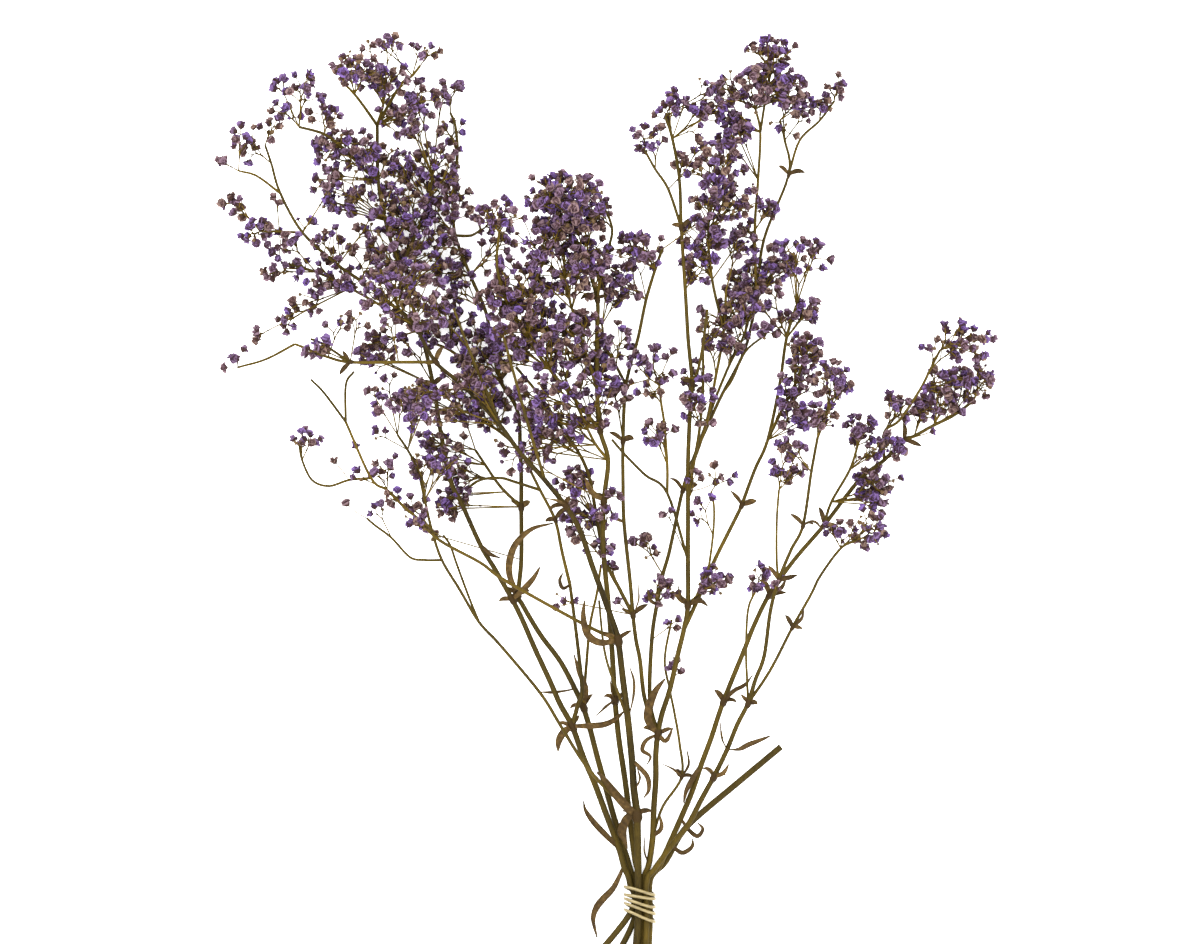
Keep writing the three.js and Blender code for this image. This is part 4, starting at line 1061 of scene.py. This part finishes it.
@dataclass(frozen=True)
class Forking:
    """The rule by which twigs leave the stem and fork."""

    clear: float = 1.25  # radii of its cloud of florets between a fork and the cloud's middle
    least: float = 0.42  # share of the way to the middle where a fork stands at the least
    most: float = 0.9
    root_below: float = 16  # mm that a root lies nearer to the tie than its florets, or it costs
    uphill_cost: float = 1.5  # mm that each mm of a root too far up counts for

    def root_for(self, targets: Array, known: Array) -> Array:
        """Finds where a twig leaves the stem: near, rather from below its florets than above.

        Args:
            targets: Places of its florets.
            known: Points of the stem.

        Returns:
            The point of the stem with the least cost.
        """
        centre = targets.mean(axis=0)
        outward = unit(np.array([centre[0], centre[1], 0]))
        steps = known - centre
        uphill = np.maximum(0, np.sum(steps * outward, axis=1) + self.root_below)
        cost = np.linalg.norm(steps, axis=1) + self.uphill_cost * uphill
        return known[np.argmin(cost)]

    def fork(self, twig: Twig, targets: Array, twigs: list[Twig]) -> None:
        """Forks a twig again and again until each end carries one floret.

        The larger half goes on with the same twig, and the other starts a new one.

        Args:
            twig: The twig so far.
            targets: Places of the florets beyond it.
            twigs: All twigs of the group, which new ones join.
        """
        twig.florets.append(len(targets))
        if len(targets) == 1:
            twig.points.append(targets[0])
            return
        centre = targets.mean(axis=0)
        radius = length(farthest(targets, centre) - centre)
        away = length(centre - twig.points[-1])
        share = min(max(1 - self.clear * radius / away, self.least), self.most)
        joint = twig.points[-1] + (centre - twig.points[-1]) * share
        ahead, behind = halves(targets, centre)
        larger, smaller = (ahead, behind) if len(ahead) > len(behind) else (behind, ahead)
        twig.points.append(joint)
        self.fork(twig, larger, twigs)
        branch = Twig([joint.copy()])
        twigs.append(branch)
        self.fork(branch, smaller, twigs)


@dataclass(frozen=True)
class Scatter:
    """The rule that scatters a spray's florets in small clumps over a rounded space."""

    more: float = 1.12  # florets for each one in the plan
    clumped: float = 0.42  # share of the florets that sit close to another
    clump_gap: Spread = Spread(1.3, 0.5)  # floret radii from one to the next in a clump
    depth: Spread = Spread(3, 0.75)  # half depth in mm, more for each mm of reach
    deepest: float = 24
    tries: int = 4  # draws, of which the one farthest from the other florets is taken

    def spread(self, spray: Spray, height: float, draw: Draw) -> Array:
        """Scatters the florets, each in a clump with the one before or on its own.

        Args:
            spray: Pixel, half sizes in pixels and number of florets.
            height: Height of the spray's middle in mm.
            draw: Source of random numbers.

        Returns:
            Places in mm, one a row.
        """
        x, y, half_width, half_height, count = spray
        reach = np.array([half_width, half_height, 0]) * MM_PER_PIXEL
        reach[2] = min(self.deepest, self.depth.at(max(reach[:2])))
        middle = place((x, y), height)
        taken: list[Array] = []
        for _ in range(round(self.more * count)):
            if taken and draw() < self.clumped:
                taken.append(self.beside(taken[-1], draw))
            else:
                taken.append(self.apart(taken, middle, reach, draw))
        return np.array(taken)

    def beside(self, known: Array, draw: Draw) -> Array:
        """Draws a place close to the last floret, in any direction."""
        step = np.array([draw() - 0.5, draw() - 0.5, draw() - 0.5])
        gap = self.clump_gap.at(draw())
        return self.kept_in(known + unit(step) * FLORET_RADIUS * gap)

    def apart(self, taken: list[Array], middle: Array, reach: Array, draw: Draw) -> Array:
        """Draws a few places in the spray's space and takes the one farthest from the others.

        Args:
            taken: Places of the florets so far.
            middle: The space's middle.
            reach: Its half sizes in x, y and z.
            draw: Source of random numbers.

        Returns:
            The place.
        """
        best, best_gap = middle, -1.0
        for _ in range(self.tries):
            turn, lift, out = 2 * math.pi * draw(), 2 * draw() - 1, np.cbrt(draw())
            flat = math.sqrt(1 - lift * lift)
            ball = np.array([flat * math.cos(turn), flat * math.sin(turn), lift])
            point = self.kept_in(ball * out * reach + middle)
            gap = np.linalg.norm(np.array(taken) - point, axis=1).min() if taken else 1.0
            if gap > best_gap:
                best, best_gap = point, gap
        return best

    def kept_in(self, point: Array) -> Array:
        """Keeps a floret's place between the surface and the highest ones."""
        point[2] = np.clip(point[2], LOWEST_FLORET, HIGHEST_FLORET)
        return point


@dataclass
class Blooms:
    """All florets of one stem: place, size, axis, two directions square to it, where the first
    petal stands round it, and tone. Their shape is given for a floret of radius 1."""

    ends: Array
    size: Array
    axis: Array
    side: Array
    up: Array
    phase: Array
    tone: Array

    # Radius, height and share of each ring of the calyx
    calyx: Sequence[tuple[float, float, float]] = (
        (0.2, 0, 0.05),
        (0.55, 0.3, 0.1),
        (0.72, 0.8, 0.15),
        (0.4, 1.15, 0.3),
    )
    # Distance from the foot, half width, fold and share of each ring of a petal; the share is lowest at
    # the root, which takes the painted shade
    petal: Sequence[tuple[float, float, float, float]] = (
        (0.1, 0.2, 0.3, 0.02),
        (0.6, 0.66, 1, 0.3),
        (1.02, 0.5, 0.6, 0.5),
    )
    calyx_sides: int = 4
    foot: float = 0.55
    turn_more: float = 0.12  # share of a turn by which a petal's place varies
    inner_lean: Spread = Spread(0, 25)
    outer_lean: Spread = Spread(45, 45)
    twist: float = 1.2
    length: Spread = Spread(0.85, 0.3)
    width: Spread = Spread(0.75, 0.5)
    fold: Spread = Spread(0.5, 1)
    fold_depth: float = 0.22
    curl: float = 0.75
    curl_down: float = 0.3  # share of the petals that curl down
    petal_shade: float = 0.34
    corner_shade: float = 0.3
    buds: float = 0.2  # share of the florets that are still buds
    brown_buds: float = 0.6  # share of the buds that are brown
    bud_size: float = 0.42
    open_size: float = 0.92
    growth: Spread = Spread(1, 0.35)
    tone_power: float = 1.15  # above 1 there are more dull florets than vivid ones
    upright: float = 0.9  # an axis steeper than this takes another direction for its side

    @classmethod
    def on(cls, heads: Sequence[tuple[Array, Array]], chance: np.random.Generator) -> Blooms:
        """Draws sizes, tones and turns for florets at the ends of twigs.

        Args:
            heads: Places in mm, and directions in which the florets open.
            chance: Source of random numbers.

        Returns:
            The florets.
        """
        ends = np.array([end for end, _ in heads])
        axes = np.array([unit(axis) for _, axis in heads])
        count = len(ends)
        bud = chance.random(count) < cls.buds
        grown = FLORET_RADIUS * np.where(bud, cls.bud_size, cls.open_size)
        size = grown * cls.growth.at(chance.random(count))
        brown = bud & (chance.random(count) < cls.brown_buds)
        tone = np.where(brown, BUD_TONE, chance.random(count) ** cls.tone_power)
        level = np.abs(axes[:, 2:]) < cls.upright
        side = np.cross(np.where(level, [[0.0, 0, 1]], [[1.0, 0, 0]]), axes)
        side /= np.linalg.norm(side, axis=1)[:, None]
        phase = 2 * math.pi * chance.random(count)
        return cls(ends, size, axes, side, np.cross(axes, side), phase, tone)

    def placed(self, shape: Array) -> Array:
        """Sizes shapes that are given round their floret's end and puts them there."""
        return self.ends[:, None, None] + self.size[:, None, None, None] * shape

    def calyces(self) -> Patches:
        """Gives each floret's calyx: a little cup of rings with four corners.

        Returns:
            Grids, tones and shares for a surface.
        """
        turn = full_turn(self.calyx_sides)[None, None, :, None]
        radii, heights, share = np.array(self.calyx).T[:, None, :, None, None]
        side, up, axis = (v[:, None, None] for v in (self.side, self.up, self.axis))
        shape = radii * (np.cos(turn) * side + np.sin(turn) * up) + heights * axis
        return self.placed(shape), self.tone, share[0, :, :, 0]

    def stance(self, number: int, drawn: Array) -> tuple[Array, Array, Array]:
        """Finds the directions of one petal of each floret.

        Args:
            number: Which of the petals.
            drawn: Three random numbers for each petal: its turn, its lean and its twist.

        Returns:
            Unit vectors along the petal, across it and square to its face.
        """
        inner = number == PETALS - 1
        turn = 2 * math.pi * (number / (PETALS - 1) + self.turn_more * drawn[0]) + self.phase
        lean = np.radians((self.inner_lean if inner else self.outer_lean).at(drawn[1]))
        outward = np.cos(turn)[:, None] * self.side + np.sin(turn)[:, None] * self.up
        across = np.cos(turn)[:, None] * self.up - np.sin(turn)[:, None] * self.side
        along = np.cos(lean)[:, None] * self.axis + np.sin(lean)[:, None] * outward
        rise = np.cross(along, across)
        twist = (self.twist * (drawn[2] - 0.5))[:, None]
        return along, np.cos(twist) * across + np.sin(twist) * rise, rise

    def petals(self, number: int, chance: np.random.Generator) -> Patches:
        """Gives one petal of each floret: a folded blade of three rings with three corners.

        A petal leans outwards from the floret's axis, and its end curls up or down along the
        square of the distance. The last petal stands up in the middle.

        Args:
            number: Which of the petals.
            chance: Source of random numbers.

        Returns:
            Grids, tones and shares for a surface.
        """
        count = len(self.ends)
        drawn = chance.random((6, count))
        along, across, rise = self.stance(number, drawn)
        runs, widths, folds, shares = np.array(self.petal).T
        run = runs[None, :, None] * self.length.at(drawn[3][:, None, None])
        curl = (self.curl * (drawn[4] - self.curl_down))[:, None, None] * run**2
        path = self.foot * self.axis[:, None] + run * along[:, None] + curl * rise[:, None]
        half = widths[None, :] * self.width.at(chance.random((count, 3)))
        fold = self.fold_depth * folds[None, :] * self.fold.at(chance.random((count, 3)))
        corners = [
            path + half[..., None] * across[:, None],
            path - half[..., None] * across[:, None],
            path - fold[..., None] * rise[:, None],
        ]
        share = shares[None, :, None] + self.petal_shade * (drawn[5][:, None, None] - 0.5)
        share = share + self.corner_shade * (chance.random((count, 3, 3)) - 0.5)
        return self.placed(np.stack(corners, axis=2)), self.tone, share


@dataclass(frozen=True)
class Swelling:
    """The swelling at a joint: a short spindle along the twig, darker and redder than it."""

    half_run: Spread = Spread(0.5, 2.7)  # mm, more for each mm of radius
    girths: tuple[float, ...] = (0.55, 1.5, 1.4, 0.5)
    shares: tuple[float, ...] = (0.3, 0.9, 0.9, 0.3)
    sides: int = 5

    def rings(self, point: Array, along: Array, radius: float) -> Array:
        """Sweeps the spindle's rings.

        Args:
            point: Its middle in mm.
            along: Direction of the twig, of any length.
            radius: The twig's radius in mm.

        Returns:
            Points as rings, places round the ring, coordinates.
        """
        steps = np.linspace(-1, 1, len(self.girths))[:, None]
        path = point + steps * unit(along) * self.half_run.at(radius)
        return swept(path, radius * np.array(self.girths), self.sides)


@dataclass(frozen=True)
class Blade:
    """The blade of a withered leaf: it narrows to both ends, folds along its rib, curls its edges
    in, waves a little and twists towards the tip."""

    half_width: float = 0.62  # for each mm of the plan's width
    narrowest: float = 0.22  # share of the width at the stalk and the tip
    bulge: float = 0.8
    sine_run: Spread = Spread(0.06, 0.96)
    lean: float = 0.5
    twist: float = 2.2
    curl: float = 0.5
    curl_more: float = 0.9
    fold: float = 1.2
    wave: float = 0.12
    waves: tuple[float, float] = (9, 3)  # radians along and across the blade
    half_thickness: float = 0.22
    places_across: int = 6
    per_span: int = 6

    def rings(self, path: Array, width: float, draw: Draw) -> tuple[Array, Array]:
        """Works out the blade along a path.

        Each place across the blade bends by the curl: it moves in by the sine of the bend and up
        by one less its cosine. The upper and the lower face are that sheet, raised and lowered
        by half the thickness. The width follows a power of a sine along the blade.

        Args:
            path: Points from the stem outwards in mm.
            width: The plan's width in mm.
            draw: Source of random numbers.

        Returns:
            Points as rings, places round the ring, coordinates, and each ring's share of the way.
        """
        curve, _ = smooth(path, np.zeros(len(path)), self.per_span)
        share = np.linspace(0, 1, len(curve))
        belly = np.sin(math.pi * np.clip(self.sine_run.at(share), 0, 1)) ** self.bulge
        half = self.half_width * width * (self.narrowest + (1 - self.narrowest) * belly)
        twist = (draw() - 0.5) * self.twist * share + self.lean * (draw() - 0.5)
        curl = (self.curl + self.curl_more * share * draw())[:, None]
        u = np.linspace(-1, 1, self.places_across)[None, :]
        bend = curl * u
        along, across = self.waves
        wave = self.wave * np.sin(along * share[:, None] + across * u) * np.abs(u)
        rise = (1 - np.cos(bend)) / curl * self.fold + wave
        x, z = half[:, None] * (np.sin(bend) / curl), half[:, None] * rise
        lower = self.turned(curve, x, z - self.half_thickness, twist)
        upper = self.turned(curve, x, z + self.half_thickness, twist)
        return np.concatenate([lower, upper[:, ::-1]], axis=1), share

    def turned(self, curve: Array, x: Array, z: Array, twist: Array) -> Array:
        """Turns flat sections by their twist and sets them square to the curve.

        Args:
            curve: Points of the rib.
            x: Places to the side, as sections and places across.
            z: Heights in the same form.
            twist: Angle of each section in radians.

        Returns:
            Points as sections, places across, coordinates.
        """
        _, side, up = frames(curve)
        cosine, sine = np.cos(twist)[:, None], np.sin(twist)[:, None]
        turned_x, turned_z = x * cosine - z * sine, x * sine + z * cosine
        return curve[:, None] + turned_x[..., None] * side[:, None] + turned_z[..., None] * up[:, None]


@dataclass(frozen=True)
class JointLeaf:
    """One of the small leaves that stand in pairs at a joint: it leans out and bends back."""

    steps: tuple[float, ...] = (0, 0.35, 0.7, 1.0)
    length: Spread = Spread(9, 8)
    width: Spread = Spread(2.6, 1.4)
    bend: Spread = Spread(0.3, 0.9)
    bend_share: float = 0.5
    lean: float = 0.7
    lift: float = 0.6
    level: float = 0.3  # share of the leaves that point downwards

    def path(self, root: Array, along: Array, hand: int, draw: Draw) -> Array:
        """Draws the leaf's path: a straight reach, less a bend with the square of the distance.

        Args:
            root: The joint's point in mm.
            along: Unit vector along the branch.
            hand: -1 or 1 for the two sides.
            draw: Source of random numbers.

        Returns:
            Points in mm, one a row.
        """
        out = np.cross(along, [0, 0, 1]) * hand + np.array([0, 0, self.lift * (draw() - self.level)])
        whole = self.length.at(draw())
        bend = self.bend.at(draw())
        reach = np.array(self.steps)[:, None] * whole
        path = root + reach * (self.lean * along + self.lean * out)
        return path - (reach / whole) ** 2 * whole * bend * self.bend_share * along


@dataclass
class Stem:
    """One cut stem with its branches, forked twigs, florets and leaves."""

    plan: StemPlan
    order: int
    heads: list[tuple[Array, Array]] = field(default_factory=list)
    surfaces: dict[Part, Surface] = field(default_factory=lambda: {part: Surface() for part in Part})

    trunk_sides: int = 12
    branch_sides: int = 8
    twig_sides: int = 4
    trunk_steps: int = 8  # samples between two points of the plan
    branch_steps: int = 6
    twig_steps: int = 2
    trunk_fuller: float = 0.12  # share by which a trunk is thicker away from the tie
    branch_fuller: float = 0.26
    fuller_run: float = 60  # mm over which it thickens
    trunk_tone: Spread = Spread(-0.06, 0.2)
    branch_tone: Spread = Spread(0.06, 0.2)
    twig_tone: Spread = Spread(0.2, 0.3)
    leaf_tone: Spread = Spread(-0.05, 0.25)
    joint_tone: float = 0.05
    joint_fuller: float = 1.05
    joint_miss: float = 1  # mm by which a joint's pixel may miss its branch
    leaf_arch: float = 0.6
    florets_per_twig: int = 9
    lowest_spray: float = 12
    twig_girth: Spread = Spread(0.75, 0.25)  # more with the root of the number of florets
    twig_bend: float = 0.16
    head_sink: float = 0.3  # mm that a twig's end reaches into its floret

    def trunk(self) -> Array:
        """Joins the foot, the straight run through the tie and the traced points.

        Returns:
            Points in mm from the foot upwards.
        """
        waist_x, waist_z = self.plan.waist
        high = np.array([waist_x, TIE_ZONE, waist_z])
        rise = raised([high, *map(place, self.plan.trunk)], waist_z, self.plan.height)
        return np.vstack([self.plan.foot, self.plan.low, rise])

    def routes(self) -> list[tuple[Array, Array]]:
        """Gives the trunk and every branch, each rooted in an earlier one.

        Returns:
            Points and radii of each, in mm.
        """
        trunk = self.trunk()
        made = [(trunk, self.radii(trunk, self.plan.girth, self.trunk_fuller))]
        for route in self.plan.routes:
            start = nearest(np.vstack([points for points, _ in made]), route.path[0])
            points = raised([start, *map(place, route.path[1:])], start[2], route.height)
            made.append((points, self.radii(points, route.girth, self.branch_fuller)))
        return made

    def radii(self, points: Array, girth: tuple[float, float], more: float) -> Array:
        """Gives the radii along a branch, which thickens a little where it is clear of the tie.

        Args:
            points: The branch's points in mm.
            girth: Its girths at both ends in mm.
            more: Share by which it is thicker clear of the tie.

        Returns:
            A radius for each point.
        """
        clear = np.clip((points[:, 1] - TIE_ZONE) / self.fuller_run, 0, 1)
        return np.linspace(*girth, len(points)) / 2 * (1 + more * clear)

    def add_tube(self, points: Array, radii: Array, per_span: int, sides: int, tone: float) -> None:
        """Adds a round tapered branch along a smooth curve through the points.

        Args:
            points: Points of the branch in mm.
            radii: Its radius at each of them.
            per_span: Rings between two points.
            sides: Places round a ring.
            tone: Shift of its colour.
        """
        curve, girth = smooth(points, radii, per_span)
        rings = swept(curve, girth, sides)
        self.surfaces[Part.WOOD].add_grid(rings, tone, np.zeros(len(curve)))

    def add_joint(self, point: Array, along: Array, radius: float, tone: float) -> None:
        """Adds the swelling at a joint of this radius."""
        swelling = Swelling()
        rings = swelling.rings(point, along, radius)
        self.surfaces[Part.WOOD].add_grid(rings, tone, np.array(swelling.shares))

    def add_leaf(self, path: Array, width: float, draw: Draw) -> None:
        """Adds a withered leaf along a path."""
        rings, share = Blade().rings(path, width, draw)
        self.surfaces[Part.LEAF].add_grid(rings, self.leaf_tone.at(draw()), share)

    def add_joint_leaves(self, pixel: Pixel, routes: list[tuple[Array, Array]], draw: Draw) -> None:
        """Adds a joint's swelling and its pair of small withered leaves.

        Args:
            pixel: The joint in the photograph.
            routes: Points and radii of the trunk and the branches.
            draw: Source of random numbers.
        """
        for points, radii in routes:
            gaps = gaps_from(points, pixel)
            i = int(np.argmin(gaps))
            if gaps[i] > self.joint_miss or i in (0, len(points) - 1):
                continue
            along = points[i + 1] - points[i - 1]
            self.add_joint(points[i], along, radii[i] * self.joint_fuller, self.joint_tone)
            for hand in (-1, 1):
                leaf = JointLeaf()
                path = leaf.path(points[i], unit(along), hand, draw)
                self.add_leaf(path, leaf.width.at(draw()), draw)
            return

    def add_twig(self, twig: Twig, draw: Draw) -> None:
        """Adds a twig with the joints at its forks, and notes the floret at its end.

        A twig without forks bends a little in its middle.

        Args:
            twig: The twig.
            draw: Source of random numbers.
        """
        points = np.array(twig.points)
        florets = np.array([twig.florets[0], *twig.florets], dtype=float)
        radii = PEDICEL_RADIUS * self.twig_girth.at(np.sqrt(florets))
        bent = points
        if len(points) == 2:
            sway = np.array([draw(), draw(), draw()]) - 0.5
            sway = sway * self.twig_bend * length(points[1] - points[0])
            bent = np.array([points[0], (points[0] + points[1]) / 2 + sway, points[1]])
            radii = np.array([radii[0], radii.mean(), radii[1]])
        tone = self.twig_tone.at(draw())
        self.add_tube(bent, radii, self.twig_steps, self.twig_sides, tone)
        for i in range(1, len(points) - 1):
            self.add_joint(points[i], points[i + 1] - points[i - 1], radii[i], tone)
        along = bent[-1] - bent[-2]
        if bent[-1][2] < 2 * LOWEST_FLORET:
            along[2] = max(along[2], 0)
        self.heads.append((points[-1] - unit(along) * self.head_sink, along))

    def add_spray(self, spray: Spray, known: Array, seed: int) -> None:
        """Adds one spray of forked twigs with florets on the nearest part of the stem.

        Args:
            spray: Pixel, half sizes in pixels and number of florets.
            known: Points of the stem in mm.
            seed: Whole number that the spray's random numbers depend on.
        """
        height = max(nearest(known, spray[:2])[2], self.lowest_spray)
        targets = Scatter().spread(spray, height, seeded(seed))
        forking = Forking()
        draw = seeded(seed + 500_000)
        for group in groups(targets, self.florets_per_twig):
            twigs = [Twig([forking.root_for(group, known).copy()])]
            forking.fork(twigs[0], group, twigs)
            for twig in twigs:
                self.add_twig(twig, draw)

    def add_florets(self) -> None:
        """Adds all florets, each a small calyx that opens into crumpled petals."""
        chance = np.random.default_rng(900 + self.order)
        blooms = Blooms.on(self.heads, chance)
        self.surfaces[Part.FLORET].add_grids(*blooms.calyces())
        for petal in range(PETALS):
            self.surfaces[Part.FLORET].add_grids(*blooms.petals(petal, chance))

    def add_branches(self, routes: list[tuple[Array, Array]], draw: Draw) -> None:
        """Adds the trunk, which is the first route, and the branches."""
        (points, radii), *branches = routes
        tone = self.trunk_tone.at(draw())
        self.add_tube(points, radii, self.trunk_steps, self.trunk_sides, tone)
        for points, radii in branches:
            tone = self.branch_tone.at(draw())
            self.add_tube(points, radii, self.branch_steps, self.branch_sides, tone)

    def add_leaves(self, known: Array, draw: Draw) -> None:
        """Adds the leaves of the plan, which arch up between their stalk and their tip.

        Args:
            known: Points of the stem in mm.
            draw: Source of random numbers.
        """
        for leaf in self.plan.leaves:
            start = nearest(known, leaf.path[0])
            flat = [start, *map(place, leaf.path[1:])]
            path = raised(flat, start[2], start[2] + leaf.lift)
            path[:, 2] += leaf.lift * self.leaf_arch * np.sin(np.linspace(0, math.pi, len(path)))
            self.add_leaf(path, leaf.width, draw)

    def build(self) -> dict[Part, bpy.types.Object]:
        """Builds the stem's pieces: wood, florets and leaves.

        Returns:
            The kinds of surface that this stem has, each with its piece.
        """
        draw = seeded(77 + self.order)
        routes = self.routes()
        self.add_branches(routes, draw)
        known = np.vstack([points[1:] for points, _ in routes])
        for pixel in self.plan.joints:
            self.add_joint_leaves(pixel, routes, draw)
        self.add_leaves(known, draw)
        for i, spray in enumerate(self.plan.sprays):
            self.add_spray(spray, known[2:], 1000 * self.order + i + 1)
        if self.heads:
            self.add_florets()
        return {
            part: surface.mesh(f"{self.plan.name}_{part.value}", part is not Part.FLORET)
            for part, surface in self.surfaces.items()
            if surface.count
        }


@dataclass
class Tie:
    """The band wound round the stems: flat turns, each with its own slant.

    Each crossing is the place (mm) and the slant of one turn where it passes over the top.
    """

    width: float = 2.3
    thickness: float = 1.6
    crossings: tuple[tuple[float, float], ...] = (
        (9.3, 0.36),
        (4.75, 0.2),
        (-0.1, 0.38),
        (-3.7, 0.43),
        (-9.1, 0.5),
    )
    inside: tuple[float, float] = (10.3, 7.45)  # half sizes of the space for the stems
    centre_height: float = 8.85
    squareness: float = 0.77  # power of the round's sine and cosine
    edge: float = 0.6  # the same power for the band's own section
    sides: int = 10
    steps: int = 48  # rings in one turn

    def build(self) -> bpy.types.Object:
        """Carries a rounded flat section round the stems, from one crossing to the next.

        Returns:
            The band.
        """
        turns = np.linspace(0, len(self.crossings), len(self.crossings) * self.steps + 1)
        turn = 2 * math.pi * turns + math.pi / 2
        section = full_turn(self.sides)
        across = filled(np.cos(section), self.edge) * self.width / 2
        out = (np.sin(section) * 0.5 + 0.5) * self.thickness
        before = np.clip(np.floor(turns - 0.5), 0, len(self.crossings) - 2).astype(int)
        share = (turns - 0.5 - before)[:, None]
        known = np.array(self.crossings)
        middle, slant = ((1 - share) * known[before] + share * known[before + 1]).T[:, :, None]
        sideways, upwards = (
            (reach + out) * filled(wave(turn), self.squareness)[:, None]
            for reach, wave in zip(self.inside, (np.cos, np.sin))
        )
        x = -sideways
        z = self.centre_height - upwards
        y = middle + across - slant * x
        surface = Surface()
        surface.add_grid(np.stack([x, y, z], axis=-1), 0.0, np.zeros(len(turns)))
        return surface.mesh("tie_band")


@dataclass(frozen=True)
class Lamp:
    """A large soft disk of light: its place and width in metres, and its watts."""

    name: str
    place_m: tuple[float, float, float]
    width: float
    watts: float


@dataclass
class Studio:
    """Pale floor, soft lights and the camera that looks straight down. Lengths are in metres."""

    floor_colour: str = "#fbfbfa"
    floor_glow: float = 0.5  # keeps the floor white under the crowns
    floor_roughness: float = 0.9
    floor_reach: float = 6.0
    floor_drop: float = 0.0004
    lamps: tuple[Lamp, ...] = (
        Lamp("key", (-0.9, 1.3, 2.2), 2.4, 95.0),
        Lamp("fill", (1.3, -0.4, 2.0), 2.4, 50.0),
    )
    lit_point: tuple[float, float, float] = (0.0, 0.3, 0.0)
    sky: float = 2.3
    lens: float = 300.0
    sensor: float = 36.0
    clip_end: float = 100
    mean_height: float = 0.04  # the height at which the photograph's scale holds

    def build(self) -> None:
        """Builds the stage."""
        self.add_floor()
        for lamp in self.lamps:
            self.add_lamp(lamp)
        world = bpy.data.worlds.new("studio")
        world.use_nodes = True
        background = world.node_tree.nodes["Background"]
        background.inputs["Color"].default_value = (1, 1, 1, 1)
        background.inputs["Strength"].default_value = self.sky
        bpy.context.scene.world = world
        bpy.context.scene.view_settings.view_transform = "Standard"
        self.add_camera()

    def add_floor(self) -> None:
        """Adds the plain pale floor."""
        mesh = bpy.data.meshes.new("floor")
        sides = (-self.floor_reach, self.floor_reach)
        mesh.from_pydata([(x, y, 0) for x in sides for y in sides], [], [(0, 2, 3, 1)])
        floor = bpy.data.objects.new("floor", mesh)
        floor.location.z = -self.floor_drop
        material = bpy.data.materials.new("matte_white_board")
        material.use_nodes = True
        inputs = material.node_tree.nodes["Principled BSDF"].inputs
        inputs["Base Color"].default_value = linear(self.floor_colour)
        inputs["Emission Color"].default_value = linear(self.floor_colour)
        inputs["Emission Strength"].default_value = self.floor_glow
        inputs["Roughness"].default_value = self.floor_roughness
        mesh.materials.append(material)
        bpy.context.scene.collection.objects.link(floor)

    def add_lamp(self, lamp: Lamp) -> None:
        """Adds a lamp that faces the bunch."""
        light = bpy.data.lights.new(lamp.name, "AREA")
        light.shape = "DISK"
        light.size = lamp.width
        light.energy = lamp.watts
        holder = bpy.data.objects.new(lamp.name, light)
        holder.location = lamp.place_m
        aim = Vector(np.array(self.lit_point) - np.array(lamp.place_m))
        holder.rotation_euler = aim.to_track_quat("-Z", "Y").to_euler()
        bpy.context.scene.collection.objects.link(holder)

    def add_camera(self) -> None:
        """Adds the camera: straight above, with the photograph's frame at the mean height."""
        width = PHOTO_SIZE[0] * MM_PER_PIXEL * MM
        middle = place((PHOTO_SIZE[0] / 2, PHOTO_SIZE[1] / 2)) * MM
        camera = bpy.data.cameras.new("camera")
        camera.lens = self.lens
        camera.sensor_width = self.sensor
        camera.clip_end = self.clip_end
        holder = bpy.data.objects.new("camera", camera)
        height = width * self.lens / self.sensor + self.mean_height
        holder.location = (middle[0], middle[1], height)
        bpy.context.scene.collection.objects.link(holder)
        bpy.context.scene.camera = holder


def dress(piece: bpy.types.Object, material: bpy.types.Material, slot: str, node: str) -> None:
    """Gives a piece its finish, ties it to the frame and reports it.

    Args:
        piece: The new object.
        material: Its finish.
        slot: Name of the record's material slot. Not used.
        node: Node that the piece stands for.
    """
    piece.data.materials.append(material)
    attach(piece, "root")
    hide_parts(node)
    piece.data.calc_loop_triangles()
    LOG.info("%s: %d triangles", piece.name, len(piece.data.loop_triangles))


def main() -> None:
    """Builds the bunch and the studio."""
    logging.basicConfig(level=logging.INFO, format="%(name)s: %(message)s")
    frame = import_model()
    LOG.info("The frame holds %d CAD nodes.", len(frame["nodes"]))
    finishes = {
        Part.WOOD: (DriedStem().make(), "dried_stem"),
        Part.FLORET: (PaperyFloret().make(), "dried_floret"),
        Part.LEAF: (WitheredLeaf().make(), "dried_leaf"),
    }
    for order, plan in enumerate(PLANS):
        for part, piece in Stem(plan, order).build().items():
            dress(piece, *finishes[part], plan.name)
    dress(Tie().build(), NaturalRubber().make(), "band", "tie")
    Studio().build()


if __name__ == "__main__":
    main()
